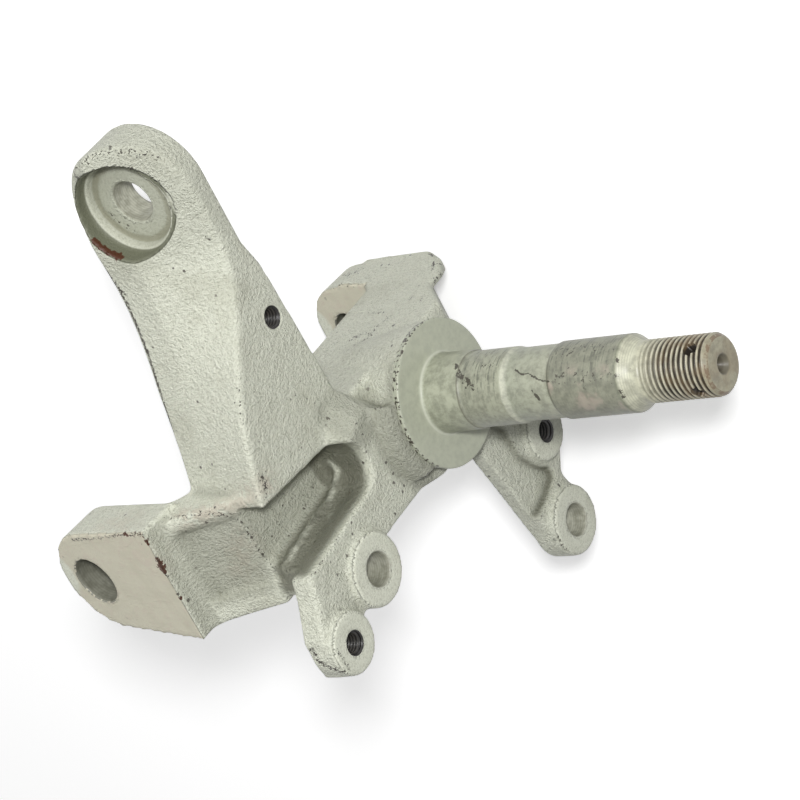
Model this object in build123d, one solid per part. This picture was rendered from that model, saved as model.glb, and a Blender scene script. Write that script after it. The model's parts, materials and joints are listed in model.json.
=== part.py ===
from build123d import *
import os
from math import cos, radians, sin, tan

# ---------------------------------------------------------------------------
# Steering knuckle with its stub axle, forged in one piece and then machined.
# Millimetres.  Origin: centre of the hub flange's turned face, on the
# stub-axle axis.  +X points outboard along the stub axle, +Y forward along
# the steering arm, +Z up, square to both.
# ---------------------------------------------------------------------------

# kingpin axis, in the plane Y = 0
KINGPIN_TILT = 8.0            # inclination of the ball-joint axis, top inboard
KINGPIN_X = -63.0             # where that axis crosses the stub-axle height

# ball-joint pads
UPPER_PAD_Z = 74.0            # upper pad's outer face, measured on the axis
LOWER_PAD_Z = -38.0           # lower pad's inner face, measured on the axis
PAD_THICK = 14.0
PAD_NOSE = 12.4               # from the axis to the tip of either pad
PAD_OVERLAP = 14.0            # how far the column's outline reaches under the pads
PAD_HALF_W = 15.5             # half width of the upper pad abreast of its bore
UPPER_HALF_W = 17.5           # half width of the upper pad at its root
UPPER_ROOT_X = -42.0          # where the upper pad's machined face ends
LOWER_HALF_W = 15.2           # half width of the lower pad
PAD_EDGE = 1.6                # bevel of the forged edges below the pads
UPPER_BALL_BORE = 14.0
LOWER_BALL_BORE = 11.0

# column between the pads
COLUMN_BACK_X = -40.0         # inboard face of the column
COLUMN_FRONT_X = -12.0        # outboard face of the column and of the arm
COLUMN_HALF_W = 15.5
SADDLE_STEP = 4.6             # drop from the upper pad's face to the saddle
SADDLE_RIDGE = (-21.7, 64.4)  # (X, Z) of the saddle's outboard end
SADDLE_HOLLOW = 2.0           # dishing of the saddle inside its two rims
SADDLE_RIM = 4.5              # width of the rims
FOOT_UNDER_Z = -50.2          # underside of the foot
FOOT_BEVEL = 3.0              # bevel between the underside and the lower pad
FOOT_END_X = -28.3            # where the underside turns up into the toe
TOE_UNDER = (-20.9, -44.8)    # (X, Z) corners of the toe, which is the steering stop
TOE_FRONT = (-16.6, -37.8)
TOE_R = 5.0
TOE_TIP_R = 1.2               # rounding of the toe's tip in plan
TOE_LEAN = 25.7               # angle between the toe's back and its forward side
FOOT_RISE = ((-33.4, -50.2), (-16.4, -31.2))  # (X, Z) line of the foot behind the toe
HUB_UNDER = (-7.5, -21.6)     # (X, Z) where that line meets the upright below the hub
UPPER_THROAT_R = 9.0
LOWER_THROAT_R = 5.5

# hub
HUB_R = 20.0                  # turned flange face
HUB_HOLLOW_R = 5.0            # hollow radius between the flange and the web
HUB_HOLLOW_Y = -13.0          # where that hollow ends on the bracket's side
HUB_ROOT_R = 15.0             # small end of the forged cone behind the flange
HUB_ROOT_X = -32.0

# stub axle, positions along +X from the flange face
SEAT_R = 10.0                 # both wheel-bearing seats
COLLAR_R = 10.6
RELIEF_R = 9.5
THREAD_R = 8.0                # M16
COLLAR_END = 12.0
INNER_SEAT_END = 25.3
RELIEF_START = 27.2
RELIEF_END = 40.4
OUTER_SEAT_END = 61.4
THREAD_START = 64.8
AXLE_END = 86.9
END_CHAMFER = 1.15
CENTRE_R = 2.6                # lathe centre in the end of the axle
CENTRE_DEPTH = 3.2
COTTER_BORE = 3.6
COTTER_X = 81.6
COTTER_TURN = 22.0            # of the first cotter hole, from +Y towards +Z

# steering arm
ARM_REACH = 88.3              # Y of the tie-rod bore, which sets the arm's length
ARM_HOLE_X = -31.0
ARM_BORE = 11.7
ARM_HEAD_AHEAD = 1.1          # from the bore to the centre of the head's round end
ARM_HEAD_BACK_X = -45.1       # inboard edge of the head
ARM_BACK_X = -44.0            # inboard edge of the arm
ARM_CREST_X = -33.0           # line along which the arm's top bends down
ARM_TOP_Z = (44.2, 43.6, 33.8)  # top at the inboard edge, crest, outboard edge
ARM_ROOT_TOP_Z = (62.0, 64.0, 66.5)  # the same where the arm leaves the column
ARM_ROOT_Y = 6.0              # where the arm starts, inside the column
ARM_UNDER_Z = 27.6            # underside of the head
ARM_ROOT_UNDER_Z = 24.6       # underside of the rest of the arm
ARM_EDGE = 0.9                # bevel of the forged edges round the arm's top
ARM_FLOOR_Z = 36.2            # floor of the counterbore
RECESS_R = 12.9
SPOT_R = 12.0                 # spot face in that floor
SPOT_DEPTH = 2.3
ARM_TAP = (0.535, 30.8)       # share of the reach, and Z, of the tap in the arm's side
ARM_TAP_DEPTH = 16.0

# caliper bracket, centres given as (Y, Z)
WEB_FRONT_X = -6.0
WEB_BACK_X = -13.0
BOSS_FACE_X = -4.0
BOSS_CHAMFER = 0.6
BOSS_BACK_CHAMFER = 1.4
BOLT_BORE = 9.0               # clearance for M8 caliper bolts
BOLT_BOSS_R = 10.0
TAP_BORE = 5.0                # tapping size of the M6 guard holes
TAP_BOSS_R = 8.4
UPPER_BOLT = (-20.3, 48.4)
UPPER_TAP = (-28.5, 67.9)
LOWER_BOLT = (-63.0, -27.0)
LOWER_TAP = (-36.3, -32.5)
WEB_EDGE_R = 1.5
PANEL_DEPTH = 2.0             # recessed panel in the lower arm of the bracket

# weight-saving pocket between the bracket and the arm
POCKET_FLOOR_X = -23.0
POCKET_RIGHT_Y = (-4.1, -6.9)  # at the pocket's end and at its mouth
POCKET_LEFT_Y = (9.9, 12.8)
POCKET_END_Z = 30.8
POCKET_CORNER_R = 6.5
POCKET_FLOOR_R = 3.0

SLOPE = tan(radians(KINGPIN_TILT))


def axis_x(z):
    """X of the kingpin axis at height z."""
    return KINGPIN_X - SLOPE * z


def pad_plane(z, down=0.0):
    """Plane square to the kingpin axis, its origin on the axis."""
    c = cos(radians(KINGPIN_TILT))
    s = sin(radians(KINGPIN_TILT))
    origin = (axis_x(z) + s * down, 0, z - c * down)
    return Plane(origin=origin, x_dir=(c, 0, s), z_dir=(-s, 0, c))


def on_pad(z, x, down=0.0):
    """(X, Z) on a pad plane, at x."""
    origin = pad_plane(z, down).origin
    return (x, origin.Z + SLOPE * (x - origin.X))


def along_pad(z, x):
    """Distance from the kingpin axis to x, along the pad plane."""
    return (x - axis_x(z)) / cos(radians(KINGPIN_TILT))


def facing_out(x):
    """Plane at x looking outboard, sketch x along Y and sketch y along Z."""
    return Plane(origin=(x, 0, 0), x_dir=(0, 1, 0), z_dir=(1, 0, 0))


def outboard_pin(radius, x_back, x_front, centre):
    """Cylinder along +X about a (Y, Z) centre."""
    y, z = centre
    sketch = facing_out(x_back) * Pos(y, z) * Circle(radius)
    return extrude(sketch, x_front - x_back)


def stub_axle():
    """Turned stub axle with its flange, one revolved profile."""
    outline = Polyline(
        (HUB_ROOT_X, 0),
        (HUB_ROOT_X, HUB_ROOT_R),
        (-1.0, HUB_R),
        (-0.4, HUB_R),
        (0, HUB_R - 0.4),
        (0, COLLAR_R),
        (COLLAR_END - 0.6, COLLAR_R - 0.3),
        (COLLAR_END, SEAT_R),
        (INNER_SEAT_END, SEAT_R),
        (RELIEF_START, RELIEF_R),
        (RELIEF_END - 0.6, RELIEF_R),
        (RELIEF_END, SEAT_R),
        (OUTER_SEAT_END, SEAT_R),
        (THREAD_START, THREAD_R),
        (AXLE_END - END_CHAMFER, THREAD_R),
        (AXLE_END, THREAD_R - END_CHAMFER),
        (AXLE_END, CENTRE_R),
        (AXLE_END - CENTRE_DEPTH, 0),
        close=True,
    )
    axle = revolve(make_face(outline), Axis.X)
    for turn in (COTTER_TURN, COTTER_TURN + 90):
        pin = Cylinder(COTTER_BORE / 2, 4 * THREAD_R)
        axle -= Pos(COTTER_X, 0, 0) * Rot(X=turn - 90) * pin
    return axle


def hub_hollow():
    """Hollow radius that runs from the flange down onto the web."""
    top = HUB_R + HUB_HOLLOW_R
    start = (WEB_FRONT_X, top)
    end = (WEB_FRONT_X + HUB_HOLLOW_R, HUB_R)
    arc = RadiusArc(start, end, HUB_HOLLOW_R)
    rest = Polyline(
        end,
        (WEB_FRONT_X + HUB_HOLLOW_R, HUB_R - 2),
        (WEB_BACK_X, HUB_R - 2),
        (WEB_BACK_X, top),
        start,
    )
    ring = revolve(make_face(arc + rest), Axis.X)
    ring &= extrude(facing_out(WEB_BACK_X) * web_face(0), 20)
    return ring & Pos(0, HUB_HOLLOW_Y, 0) * Box(
        60, 100, 100, align=(Align.CENTER, Align.MIN, Align.CENTER)
    )


def upper_pad():
    """Upper ball-joint pad, its outer face square to the kingpin axis."""
    root = along_pad(UPPER_PAD_Z, UPPER_ROOT_X)
    nose = ThreePointArc((2, PAD_HALF_W), (-PAD_NOSE, 0), (2, -PAD_HALF_W))
    flank = Polyline(
        (2, -PAD_HALF_W),
        (root, -UPPER_HALF_W),
        (root, UPPER_HALF_W),
        (2, PAD_HALF_W),
    )
    pad = extrude(pad_plane(UPPER_PAD_Z) * make_face(nose + flank), -PAD_THICK)
    under = pad.faces().filter_by(pad_plane(0)).sort_by(Axis.Z)[0]
    rim = under.edges().filter_by(lambda e: (e @ 0.5).X < UPPER_ROOT_X - 3)
    return chamfer(rim, PAD_EDGE)


def lower_pad():
    """Lower ball-joint pad, its inner face square to the kingpin axis."""
    root = along_pad(LOWER_PAD_Z, COLUMN_BACK_X + 3)
    nose = ThreePointArc((1, LOWER_HALF_W - 1), (-PAD_NOSE, 0), (1, 1 - LOWER_HALF_W))
    flank = Polyline(
        (1, 1 - LOWER_HALF_W),
        (8, -LOWER_HALF_W),
        (root, -LOWER_HALF_W),
        (root, LOWER_HALF_W),
        (8, LOWER_HALF_W),
        (1, LOWER_HALF_W - 1),
    )
    pad = extrude(pad_plane(LOWER_PAD_Z) * make_face(nose + flank), -PAD_THICK)
    under = pad.faces().filter_by(pad_plane(0)).sort_by(Axis.Z)[0]
    rim = under.edges().filter_by(lambda e: (e @ 0.5).X < COLUMN_BACK_X)
    return chamfer(rim, PAD_EDGE)


def saddle_line(drop):
    """(X, Z) points of the saddle from the upper pad out to its ridge."""
    x0, z0 = on_pad(UPPER_PAD_Z, UPPER_ROOT_X)
    x1, z1 = SADDLE_RIDGE
    z0 -= SADDLE_STEP + drop
    z1 -= drop * 0.5
    return [
        (x0, z0),
        (x0 + 3.5, z0 - 2.6),
        (x0 + 0.5 * (x1 - x0), 0.42 * z0 + 0.58 * z1),
        (x1, z1),
    ]


def column():
    """C-shaped upright between the pads, with its foot and toe."""
    back = COLUMN_BACK_X
    run = back - PAD_OVERLAP
    outline = Polyline(
        on_pad(UPPER_PAD_Z, UPPER_ROOT_X),
        on_pad(UPPER_PAD_Z, run),
        on_pad(UPPER_PAD_Z, run, PAD_THICK),
        on_pad(UPPER_PAD_Z, back, PAD_THICK),
        on_pad(LOWER_PAD_Z, back),
        on_pad(LOWER_PAD_Z, run),
        (run + FOOT_BEVEL, FOOT_UNDER_Z),
        (FOOT_END_X, FOOT_UNDER_Z),
        TOE_UNDER,
        TOE_FRONT,
        FOOT_RISE[1],
        HUB_UNDER,
        (HUB_UNDER[0], -10.0),
        (COLUMN_FRONT_X, 0),
        (COLUMN_FRONT_X, SADDLE_RIDGE[1] + 0.6),
        *reversed(saddle_line(0)),
        close=True,
    )
    profile = Plane.XZ * make_face(outline)
    corners = profile.vertices().filter_by(lambda v: abs(v.X - back) < 0.01)
    profile = fillet(corners.sort_by(Axis.Z)[-1], UPPER_THROAT_R)
    corners = profile.vertices().filter_by(lambda v: abs(v.X - back) < 0.01)
    profile = fillet(corners.sort_by(Axis.Z)[0], LOWER_THROAT_R)
    corners = profile.vertices().filter_by(
        lambda v: v.Z < TOE_FRONT[1] + 1 and v.X > FOOT_END_X - 1
    )
    profile = fillet(corners, TOE_R)
    body = extrude(profile, COLUMN_HALF_W, both=True)
    shoulder = extrude(profile, UPPER_HALF_W)
    keep = Pos(UPPER_ROOT_X + 10, 0, UPPER_PAD_Z - 15) * Box(
        20, 60, 30, align=(Align.CENTER, Align.CENTER, Align.MIN)
    )
    return body + (shoulder & keep) - toe_clearance()


def toe_clearance():
    """What is cut from behind the toe, which leaves a wedge with a round tip."""
    lean = radians(TOE_LEAN)
    x = TOE_FRONT[0] - TOE_TIP_R
    y = COLUMN_HALF_W - TOE_TIP_R
    back = (x + TOE_TIP_R * sin(lean), y - TOE_TIP_R * cos(lean))
    tip = (x + TOE_TIP_R * cos(lean / 2), y + TOE_TIP_R * sin(lean / 2))
    reach = x - FOOT_RISE[0][0]
    inner = (back[0] - reach, back[1] - reach * tan(lean))
    rest = Polyline(
        back,
        inner,
        (inner[0], -COLUMN_HALF_W - 5),
        (10, -COLUMN_HALF_W - 5),
        (10, COLUMN_HALF_W + 5),
        (x, COLUMN_HALF_W + 5),
        (x, COLUMN_HALF_W),
    )
    plan = make_face(ThreePointArc((x, COLUMN_HALF_W), tip, back) + rest)
    low, high = FOOT_RISE
    under = low[1] - 20
    side = make_face(Polyline(low, high, (10, high[1]), (10, under), (low[0], under), close=True))
    plan = extrude(Plane.XY.offset(under) * plan, high[1] - under)
    return plan & extrude(Plane.XZ * side, 60, both=True)


def saddle_hollow():
    """Dish of the saddle, inside the rims."""
    line = saddle_line(SADDLE_HOLLOW)
    x0, z0 = line[0]
    x1, z1 = line[-1]
    outline = Polyline(
        (x0 + 1.5, z0),
        *line[1:],
        (x1 + 3, z1),
        (x1 + 3, z0 + 20),
        (x0 + 1.5, z0 + 20),
        close=True,
    )
    half = COLUMN_HALF_W - SADDLE_RIM
    dish = extrude(Plane.XZ * make_face(outline), half, both=True)
    walls = dish.edges().filter_by(lambda e: (e @ 0.5).Z < z0 + 10)
    walls = walls.filter_by(lambda e: abs((e @ 0.5).Y) > half - 0.1)
    return fillet(walls, 1.8)


def arm_side(x, y_near, y_far, heights):
    """Section of the arm in the plane at x, from heights at shares of the reach."""
    line = Spline(*[(y_near if share == 0 else share * ARM_REACH, z) for share, z in heights])
    rest = Polyline(
        line @ 1,
        (y_far, ARM_UNDER_Z),
        (0.77 * ARM_REACH, ARM_UNDER_Z),
        (0.68 * ARM_REACH, ARM_ROOT_UNDER_Z + 0.8),
        (0.50 * ARM_REACH, ARM_ROOT_UNDER_Z),
        (y_near, ARM_ROOT_UNDER_Z - 1.6),
        line @ 0,
    )
    return facing_out(x) * make_face(line + rest)


def arm_plan():
    """Plan outline of the arm with its round head."""
    hy = ARM_REACH + ARM_HEAD_AHEAD
    front, back = COLUMN_FRONT_X, ARM_HEAD_BACK_X
    radius = (front - back) / 2
    head = ThreePointArc((front, hy), (front - radius, hy + radius), (back, hy))
    rest = Polyline(
        (back, hy),
        (ARM_BACK_X, hy - 16),
        (ARM_BACK_X + 0.5, 0.45 * ARM_REACH),
        (ARM_BACK_X + 4.0, ARM_ROOT_Y),
        (front, ARM_ROOT_Y),
        (front, hy),
    )
    return make_face(head + rest)


def steering_arm():
    """Forward arm: plan outline with a twisted top and a stepped underside."""
    y_far = 1.25 * ARM_REACH
    top_in, top_mid, top_out = ARM_TOP_Z
    root_in, root_mid, root_out = ARM_ROOT_TOP_Z
    inner = [(0, root_in), (0.227, 55.6), (0.43, 50.0), (0.612, 46.0), (0.77, top_in),
             (0.906, top_in), (1.02, top_in - 1.8), (1.25, top_in - 2.6)]
    crest = [(0, root_mid), (0.227, 58.6), (0.43, 51.8), (0.612, 46.4), (0.77, top_mid + 0.8),
             (0.906, top_mid), (1.02, top_mid - 0.2), (1.25, top_mid - 0.4)]
    outer = [(0, root_out), (0.227, 63.4), (0.43, 54.9), (0.566, 45.9), (0.68, 38.4),
             (0.793, top_out + 0.8), (0.951, top_out), (1.25, top_out + 0.4)]
    sections = [
        arm_side(ARM_HEAD_BACK_X, ARM_ROOT_Y, y_far, inner),
        arm_side(ARM_CREST_X, ARM_ROOT_Y, y_far, crest),
        arm_side(COLUMN_FRONT_X, ARM_ROOT_Y, y_far, outer),
    ]
    arm = loft(sections, ruled=True) & extrude(arm_plan(), ARM_ROOT_TOP_Z[2] + 10)
    rim = arm.edges().filter_by(lambda e: min((e @ 0).Z, (e @ 1).Z) > ARM_UNDER_Z + 3)
    rim = rim.filter_by(lambda e: (e @ 0.5).Y > 0.34 * ARM_REACH)
    rim = rim.filter_by(lambda e: abs((e @ 0.5).X - ARM_CREST_X) > 0.6)
    return chamfer(rim, ARM_EDGE)


def web_face(grow):
    """Outline of the web about the hub, its forward side let out by grow."""
    return make_face(
        Polyline(
            (-17.4, 39),
            (-4, 39 + grow * 0.2),
            (9 + grow * 0.9, 33.5 + grow * 0.2),
            (12.5 + grow, 27.5 + grow * 0.3),
            (12.5 + grow, 23.2),
            (5, 12),
            (-6, -19),
            (-19, -8),
            (-20.1, 7.5),
            (-19.1, 11.7),
            (-17.2, 18.2),
            close=True,
        )
    )


def bracket_slab(points, corner_r):
    """Plate of the bracket between the web's back and front faces."""
    face = fillet(make_face(Polyline(*points, close=True)).vertices(), corner_r)
    slab = extrude(facing_out(WEB_BACK_X) * face, WEB_FRONT_X - WEB_BACK_X)
    return fillet(slab.edges().group_by(Axis.X)[-1], WEB_EDGE_R)


def caliper_bracket():
    """Web about the hub with the bracket's two arms and four bosses."""
    web = loft(
        [facing_out(WEB_BACK_X) * web_face(7), facing_out(WEB_FRONT_X) * web_face(0)],
        ruled=True,
    )
    upper = bracket_slab(
        [(-2, 12), (-17.2, 22), (-16.4, 40), (-29.8, 47), (-27, 57.5), (-36.6, 64.5),
         (-34.5, 74.8), (-23, 75.5), (-13, 70.4), (-2, 67)],
        1.5,
    )
    lower = bracket_slab(
        [(-8, -4), (-24, -9.0), (-44, -13.6), (-60.5, -17.2), (-71.2, -22.4), (-71.0, -32.2),
         (-63, -37.0), (-51, -33.4), (-45, -38), (-38, -41), (-29, -38), (-12, -22)],
        1.5,
    )
    bracket = web + upper + lower
    for centre, radius in (
        (UPPER_BOLT, BOLT_BOSS_R),
        (LOWER_BOLT, BOLT_BOSS_R),
        (UPPER_TAP, TAP_BOSS_R),
        (LOWER_TAP, TAP_BOSS_R),
    ):
        boss = outboard_pin(radius, WEB_BACK_X, BOSS_FACE_X, centre)
        boss = chamfer(boss.edges().group_by(Axis.X)[-1], BOSS_CHAMFER)
        bracket += chamfer(boss.edges().group_by(Axis.X)[0], BOSS_BACK_CHAMFER)
    return bracket


def lower_panel():
    """Step in the lower arm of the bracket, open at its upper side and clear of the bosses."""
    face = make_face(
        Polyline((-18, 0), (-54, -6), (-53.4, -19), (-52.4, -22.5), (-49.8, -29.6),
                 (-46.6, -29.6), (-43, -25.3), (-36, -21), (-27, -20.5), (-18, -14), close=True)
    )
    inner = face.vertices().filter_by(lambda v: v.X < -20 and v.Y < -10)
    face = fillet(inner, 1.2)
    return extrude(facing_out(WEB_FRONT_X - PANEL_DEPTH) * face, 2 * PANEL_DEPTH)


def pocket():
    """Core print left open between the bracket and the arm."""
    r0, r1 = POCKET_RIGHT_Y
    l0, l1 = POCKET_LEFT_Y
    mouth = 90
    out = (mouth - POCKET_END_Z) / 35
    face = make_face(
        Polyline(
            (r0, POCKET_END_Z),
            (l0, POCKET_END_Z),
            (l0 + (l1 - l0) * out, mouth),
            (r0 + (r1 - r0) * out, mouth),
            close=True,
        )
    )
    face = fillet(face.vertices().group_by(Axis.Y)[0], POCKET_CORNER_R)
    cut = extrude(facing_out(POCKET_FLOOR_X) * face, 5 - POCKET_FLOOR_X)
    floor = cut.edges().group_by(Axis.X)[0]
    floor = floor.filter_by(lambda e: (e @ 0.5).Z < mouth - 1)
    return fillet(floor, POCKET_FLOOR_R)


def ball_bore(z, bore):
    """Ball-joint bore of the pad at z, square to the pad."""
    return extrude(pad_plane(z, -1) * Circle(bore / 2), -PAD_THICK - 2)


def bores():
    """Every other bore: tie rod, caliper bolts and tapped holes."""
    hx, hy = ARM_HOLE_X, ARM_REACH
    tap = (ARM_TAP[0] * ARM_REACH, ARM_TAP[1])
    up = Align.CENTER, Align.CENTER, Align.MIN
    tool = Pos(hx, hy, ARM_FLOOR_Z) * Cylinder(ARM_BORE / 2, 40)
    tool += Pos(hx, hy, ARM_FLOOR_Z) * Cylinder(SPOT_R, 30, align=up)
    tool += Pos(hx, hy, ARM_FLOOR_Z + SPOT_DEPTH) * Cylinder(RECESS_R, 30, align=up)
    for centre in (UPPER_BOLT, LOWER_BOLT):
        tool += outboard_pin(BOLT_BORE / 2, WEB_BACK_X - 20, BOSS_FACE_X + 5, centre)
    for centre in (UPPER_TAP, LOWER_TAP):
        tool += outboard_pin(TAP_BORE / 2, WEB_BACK_X - 20, BOSS_FACE_X + 5, centre)
    tool += outboard_pin(
        TAP_BORE / 2, COLUMN_FRONT_X - ARM_TAP_DEPTH, COLUMN_FRONT_X + 5, tap
    )
    return tool


knuckle = column() - saddle_hollow()
knuckle += upper_pad() + lower_pad()
knuckle += steering_arm()
knuckle += caliper_bracket() - lower_panel()
knuckle -= pocket()
knuckle += hub_hollow()
knuckle += stub_axle()
knuckle -= ball_bore(UPPER_PAD_Z, UPPER_BALL_BORE)
knuckle -= ball_bore(LOWER_PAD_Z, LOWER_BALL_BORE)
knuckle -= bores()

os.makedirs("parts", exist_ok=True)
export_step(knuckle, "parts/steering_knuckle.step")
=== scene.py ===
# %% [markdown]
# # A forged steering knuckle
#
# The knuckle turns a front wheel of a small vehicle. It is one steel forging: a
# C-shaped upright with two ball-joint pads, a steering arm, a bracket for the brake
# caliper and a stub axle that carries the wheel's bearings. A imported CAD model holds
# its true sizes. This notebook dresses that model: it softens the forging, cuts the
# real thread, lines the bores and gives each surface its finish. Lengths are in metres,
# +X runs outboard along the axle, +Y forward along the arm and +Z up.

import json
import math

import bmesh
import bpy
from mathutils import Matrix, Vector
import numpy as np


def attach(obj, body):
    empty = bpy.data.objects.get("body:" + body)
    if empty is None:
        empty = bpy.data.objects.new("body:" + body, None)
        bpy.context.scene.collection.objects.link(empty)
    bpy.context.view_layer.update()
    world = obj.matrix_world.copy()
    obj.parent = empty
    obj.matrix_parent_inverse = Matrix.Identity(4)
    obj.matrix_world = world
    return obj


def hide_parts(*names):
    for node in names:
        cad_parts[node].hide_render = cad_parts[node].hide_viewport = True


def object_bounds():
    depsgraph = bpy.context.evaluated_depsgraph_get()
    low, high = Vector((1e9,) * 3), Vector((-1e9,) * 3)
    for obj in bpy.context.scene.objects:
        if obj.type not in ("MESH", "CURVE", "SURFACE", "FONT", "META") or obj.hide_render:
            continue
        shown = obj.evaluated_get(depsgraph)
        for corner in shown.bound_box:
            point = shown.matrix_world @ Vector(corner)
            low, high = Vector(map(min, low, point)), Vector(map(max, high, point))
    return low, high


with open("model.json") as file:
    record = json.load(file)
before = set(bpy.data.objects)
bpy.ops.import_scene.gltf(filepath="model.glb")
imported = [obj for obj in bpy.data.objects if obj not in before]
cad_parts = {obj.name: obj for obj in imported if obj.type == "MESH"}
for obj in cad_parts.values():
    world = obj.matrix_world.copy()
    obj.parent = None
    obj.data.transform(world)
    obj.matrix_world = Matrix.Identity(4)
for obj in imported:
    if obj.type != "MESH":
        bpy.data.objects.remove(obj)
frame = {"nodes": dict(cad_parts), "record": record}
cad_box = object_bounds()
knuckle = frame["nodes"]["steering_knuckle"]
MM = 0.001
print("CAD box", cad_box)

# %% [markdown]
# ## Interfaces
#
# The record that comes with the frame lists every bore, pin and face with its place,
# axis and radius. Reading them from there keeps the dressed part true to the CAD: a
# bore that moves there moves here as well.

# %% Read the mounts
mounts = {m["name"]: m for m in frame["record"]["mounts"]}


def place(name):
    """A mount's point in metres and its unit axis."""
    axis = np.array(mounts[name]["axis"], float)
    return np.array(mounts[name]["pos_m"], float), axis / np.linalg.norm(axis)


def radius(name):
    """A mount's radius in metres."""
    return mounts[name]["dims"]["r_mm"] * MM


def length(name):
    """A mount's length in metres."""
    return mounts[name]["dims"]["length_mm"] * MM


BOLTS = ("caliper_bolt_upper", "caliper_bolt_lower")
TAPS = ("guard_tap_upper", "guard_tap_lower")
print("mounts", sorted(mounts))

# %% [markdown]
# ## Turned surfaces
#
# A lathe makes a surface whose radius depends on the place along one axis. The same
# idea makes the mesh: a profile of (x, r) pairs is turned through equal angles, all
# points are worked out as whole arrays, and each ring is joined to the next by quads.
# Where the profile starts or ends on the axis, one point closes it with a fan of
# triangles.

# %% Helpers for meshes


def piece(name, points, faces):
    """New object in the scene with one smooth-shaded mesh of those points and faces."""
    mesh = bpy.data.meshes.new(name)
    mesh.from_pydata(points, [], faces)
    mesh.shade_smooth()
    made = bpy.data.objects.new(name, mesh)
    bpy.context.scene.collection.objects.link(made)
    return made


def ring_faces(rings, sides):
    """Quads between neighbouring rings of a grid that closes round its second index."""
    i, j = np.meshgrid(np.arange(rings - 1), np.arange(sides), indexing="ij")
    nxt = (j + 1) % sides
    quads = np.stack([i * sides + j, (i + 1) * sides + j, (i + 1) * sides + nxt, i * sides + nxt], -1)
    return quads.reshape(-1, 4).tolist()


def turned(along, radii, sides, centre=(0, 0, 0), axis=(1, 0, 0)):
    """Points of a surface of revolution.

    Point = centre + along * axis + r * (cos t * u + sin t * v), where u and v are square
    to the axis. radii is one value per ring, or one per ring and side.
    """
    axis = np.array(axis, float)
    u = np.cross(axis, (0, 0, 1) if abs(axis[2]) < 0.9 else (0, 1, 0))
    u /= np.linalg.norm(u)
    v = np.cross(axis, u)
    t = np.linspace(0, 2 * math.pi, sides, endpoint=False)
    r = np.broadcast_to(np.array(radii, float).reshape(len(along), -1), (len(along), sides))
    round_part = np.cos(t)[:, None] * u + np.sin(t)[:, None] * v
    points = np.array(centre) + np.array(along)[:, None, None] * axis + r[..., None] * round_part
    return points.reshape(-1, 3)


def sampled(profile, step):
    """The profile's (x, r) corners with points added so that no gap is over step."""
    rows = []
    for (x0, r0), (x1, r1) in zip(profile, profile[1:]):
        n = max(1, math.ceil(math.hypot(x1 - x0, r1 - r0) / step))
        s = np.arange(n)[:, None] / n
        rows.append(np.array([x0, r0]) * (1 - s) + np.array([x1, r1]) * s)
    rows.append(np.array([profile[-1]], float))
    return np.concatenate(rows)


def smoothstep(low, high, value):
    """0 below low, 1 above high and a smooth rise 3 s^2 - 2 s^3 between."""
    s = np.clip((value - low) / (high - low), 0, 1)
    return s * s * (3 - 2 * s)


print("a ring of 8 sides has", len(turned([0.0], [10 * MM], 8)), "points")

# %% [markdown]
# ## Forging
#
# A forging has no sharp edge: the die rounds each one, and scale and blasting roughen
# the skin. The CAD solid has crisp edges, so a copy of its mesh is cut off behind the
# flange, where the turned axle takes over, and remeshed into even squares of about half
# a millimetre. On even squares a plain smoothing rounds every edge by the same amount,
# and the places that a cutter has faced can be held back from it.

# %% Copy, cut and remesh
VOXEL = 0.56 * MM
CUT_X = -1.2 * MM


def forging_copy():
    """The knuckle's mesh, merged, cut off behind the flange face and closed."""
    bm = bmesh.new()
    bm.from_mesh(knuckle.data)
    bmesh.ops.remove_doubles(bm, verts=bm.verts, dist=0.002 * MM)
    everything = bm.verts[:] + bm.edges[:] + bm.faces[:]
    bmesh.ops.bisect_plane(
        bm, geom=everything, plane_co=(CUT_X, 0, 0), plane_no=(1, 0, 0), clear_outer=True
    )
    bmesh.ops.holes_fill(bm, edges=[e for e in bm.edges if e.is_boundary], sides=0)
    mesh = bpy.data.meshes.new("forging")
    bm.to_mesh(mesh)
    bm.free()
    return mesh


def evaluated(obj):
    """The object's mesh with its modifiers applied, which are then removed."""
    bpy.context.view_layer.update()
    graph = bpy.context.evaluated_depsgraph_get()
    mesh = bpy.data.meshes.new_from_object(obj.evaluated_get(graph))
    obj.modifiers.clear()
    return mesh


forging = bpy.data.objects.new("forging", forging_copy())
bpy.context.scene.collection.objects.link(forging)
skin = forging.modifiers.new("even_squares", "REMESH")
skin.mode = "VOXEL"
skin.voxel_size = VOXEL
forging.data = evaluated(forging)
print("forging", len(forging.data.vertices), "points after the remesh")

# %% [markdown]
# ## Faced places
#
# After the forging, a cutter has faced the pads, the bosses and the arm's eye. Those
# places are flatter and crisper than the skin around them, so they have to be known
# before anything is smoothed. They could be chosen by hand as a vertex group. Here they
# are measured: the height along a mount's axis and the distance from it tell which
# points lie on a face, so the mask moves with the bores.

# %% Read points and measure about an axis


def read_points(mesh):
    """The mesh's points as an (n, 3) array."""
    co = np.empty(len(mesh.vertices) * 3, np.float32)
    mesh.vertices.foreach_get("co", co)
    return co.reshape(-1, 3).astype(float)


def about_axis(co, name):
    """Height along a mount's axis and distance from it, for every point."""
    centre, axis = place(name)
    away = co - centre
    height = away @ axis
    return height, np.linalg.norm(away - height[:, None] * axis, axis=1)


eye_away = about_axis(read_points(forging.data), "tie_rod_hole")[1]
print("wall of the tie-rod hole", round(eye_away.min() / MM, 2), "mm from its axis")

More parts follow.
